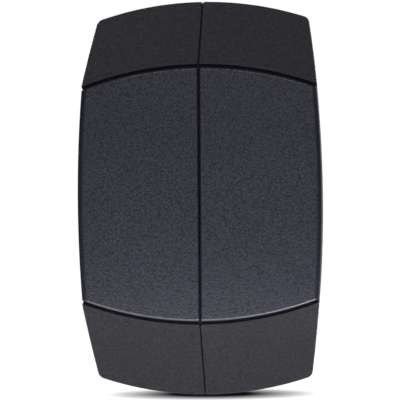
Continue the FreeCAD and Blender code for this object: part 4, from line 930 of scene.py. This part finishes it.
# white paper with a soft oval of shade; the light it gives is dimmer at the sides
def makeFloor():
    f = floorPaper
    mesh = bpy.data.meshes.new("studioFloor")
    work = bmesh.new()
    bmesh.ops.create_grid(work, x_segments=1, y_segments=1, size=f["size"])
    bmesh.ops.translate(work, verts=work.verts, vec=(0, 0, f["level"]))
    work.to_mesh(mesh)
    work.free()
    floor = bpy.data.objects.new("studioFloor", mesh)
    bpy.context.collection.objects.link(floor)
    made, tree, shader = newMaterial("floorPaper", Roughness=f["rough"])
    shader.inputs["Specular IOR Level"].default_value = 0.0
    shader.inputs["Base Color"].default_value = solid(f["base"])
    place = coordinates(tree, "Object")
    shift = addNode(tree, "ShaderNodeMapping", vector_type="TEXTURE")
    shift.inputs["Location"].default_value = (*f["shadowMiddle"], 0.0)
    shift.inputs["Scale"].default_value = (*f["shadowSize"], 1e6)    # height plays no part
    tree.links.new(place, shift.inputs["Vector"])
    far = addNode(tree, "ShaderNodeVectorMath", operation="LENGTH")
    tree.links.new(shift.outputs[0], far.inputs[0])
    seen = remap(tree, far.outputs["Value"], f["shadowCore"], 1.0)
    seen = mathNode(tree, "POWER", seen, f["shadowFade"])
    sideways = mathNode(tree, "ABSOLUTE", splitAxes(tree, place)["X"])
    lit = remap(tree, sideways, *f["sides"], f["light"], f["sideLight"])
    ray = tree.nodes.new("ShaderNodeLightPath").outputs["Is Camera Ray"]
    tree.links.new(mixNumbers(tree, ray, lit, seen), shader.inputs["Emission Strength"])
    glow = mixColors(tree, ray, solid(studio["tint"]), solid(studio["white"]))
    tree.links.new(glow, shader.inputs["Emission Color"])
    mesh.materials.append(made)


# plain white to the eye; its light is dimmer at the sides and past the lamps
def makeWorld():
    world = bpy.data.worlds.new("studio")
    bpy.context.scene.world = world
    world.use_nodes = True
    tree = world.node_tree
    tree.nodes.clear()
    out = tree.nodes.new("ShaderNodeOutputWorld")
    seen = addNode(tree, "ShaderNodeBackground", Color=solid(studio["white"]), Strength=1.0)
    lit = addNode(tree, "ShaderNodeBackground", Color=solid(studio["tint"]))
    axes = splitAxes(tree, coordinates(tree, "Generated"))
    behind = remap(tree, axes["Y"], *studio["back"], studio["worldLight"], studio["backLight"])
    sideways = mathNode(tree, "ABSOLUTE", axes["X"])
    sides = remap(tree, sideways, *studio["sides"], 1.0, studio["sideShare"])
    tree.links.new(mathNode(tree, "MULTIPLY", behind, sides), lit.inputs["Strength"])
    ray = tree.nodes.new("ShaderNodeLightPath")
    mix = tree.nodes.new("ShaderNodeMixShader")
    tree.links.new(ray.outputs["Is Camera Ray"], mix.inputs[0])
    tree.links.new(lit.outputs[0], mix.inputs[1])
    tree.links.new(seen.outputs[0], mix.inputs[2])
    tree.links.new(mix.outputs[0], out.inputs["Surface"])


def addLight(name, size, place, target, power):
    data = bpy.data.lights.new(name, "AREA")
    data.shape = "RECTANGLE"
    data.size, data.size_y = size
    data.energy = power
    light = bpy.data.objects.new(name, data)
    bpy.context.collection.objects.link(light)
    light.location = place
    light.rotation_euler = (Vector(target) - Vector(place)).to_track_quat("-Z", "Y").to_euler()
    light.visible_camera = False


def makeCamera():
    turn, drop = math.radians(studio["cameraTurn"]), math.radians(studio["cameraDrop"])
    away = Vector((-math.sin(turn) * math.cos(drop), math.cos(turn) * math.cos(drop), -math.sin(drop)))
    data = bpy.data.cameras.new("camera")
    data.lens = studio["lens"]
    data.sensor_width = studio["sensor"]
    data.clip_end = studio["clip"]
    camera = bpy.data.objects.new("camera", data)
    bpy.context.collection.objects.link(camera)
    spot = Matrix.Translation(Vector(studio["aim"]) + away * studio["cameraDistance"])
    facing = (-away).to_track_quat("-Z", "Y").to_matrix().to_4x4()
    camera.matrix_world = spot @ facing @ Matrix.Rotation(math.radians(studio["cameraRoll"]), 4, "Z")
    bpy.context.scene.camera = camera


makeFloor()
makeWorld()
for name, values in softLights.items():
    addLight(name, *values)
makeCamera()
bpy.context.scene.view_settings.view_transform = "Standard"
print("studio ready")
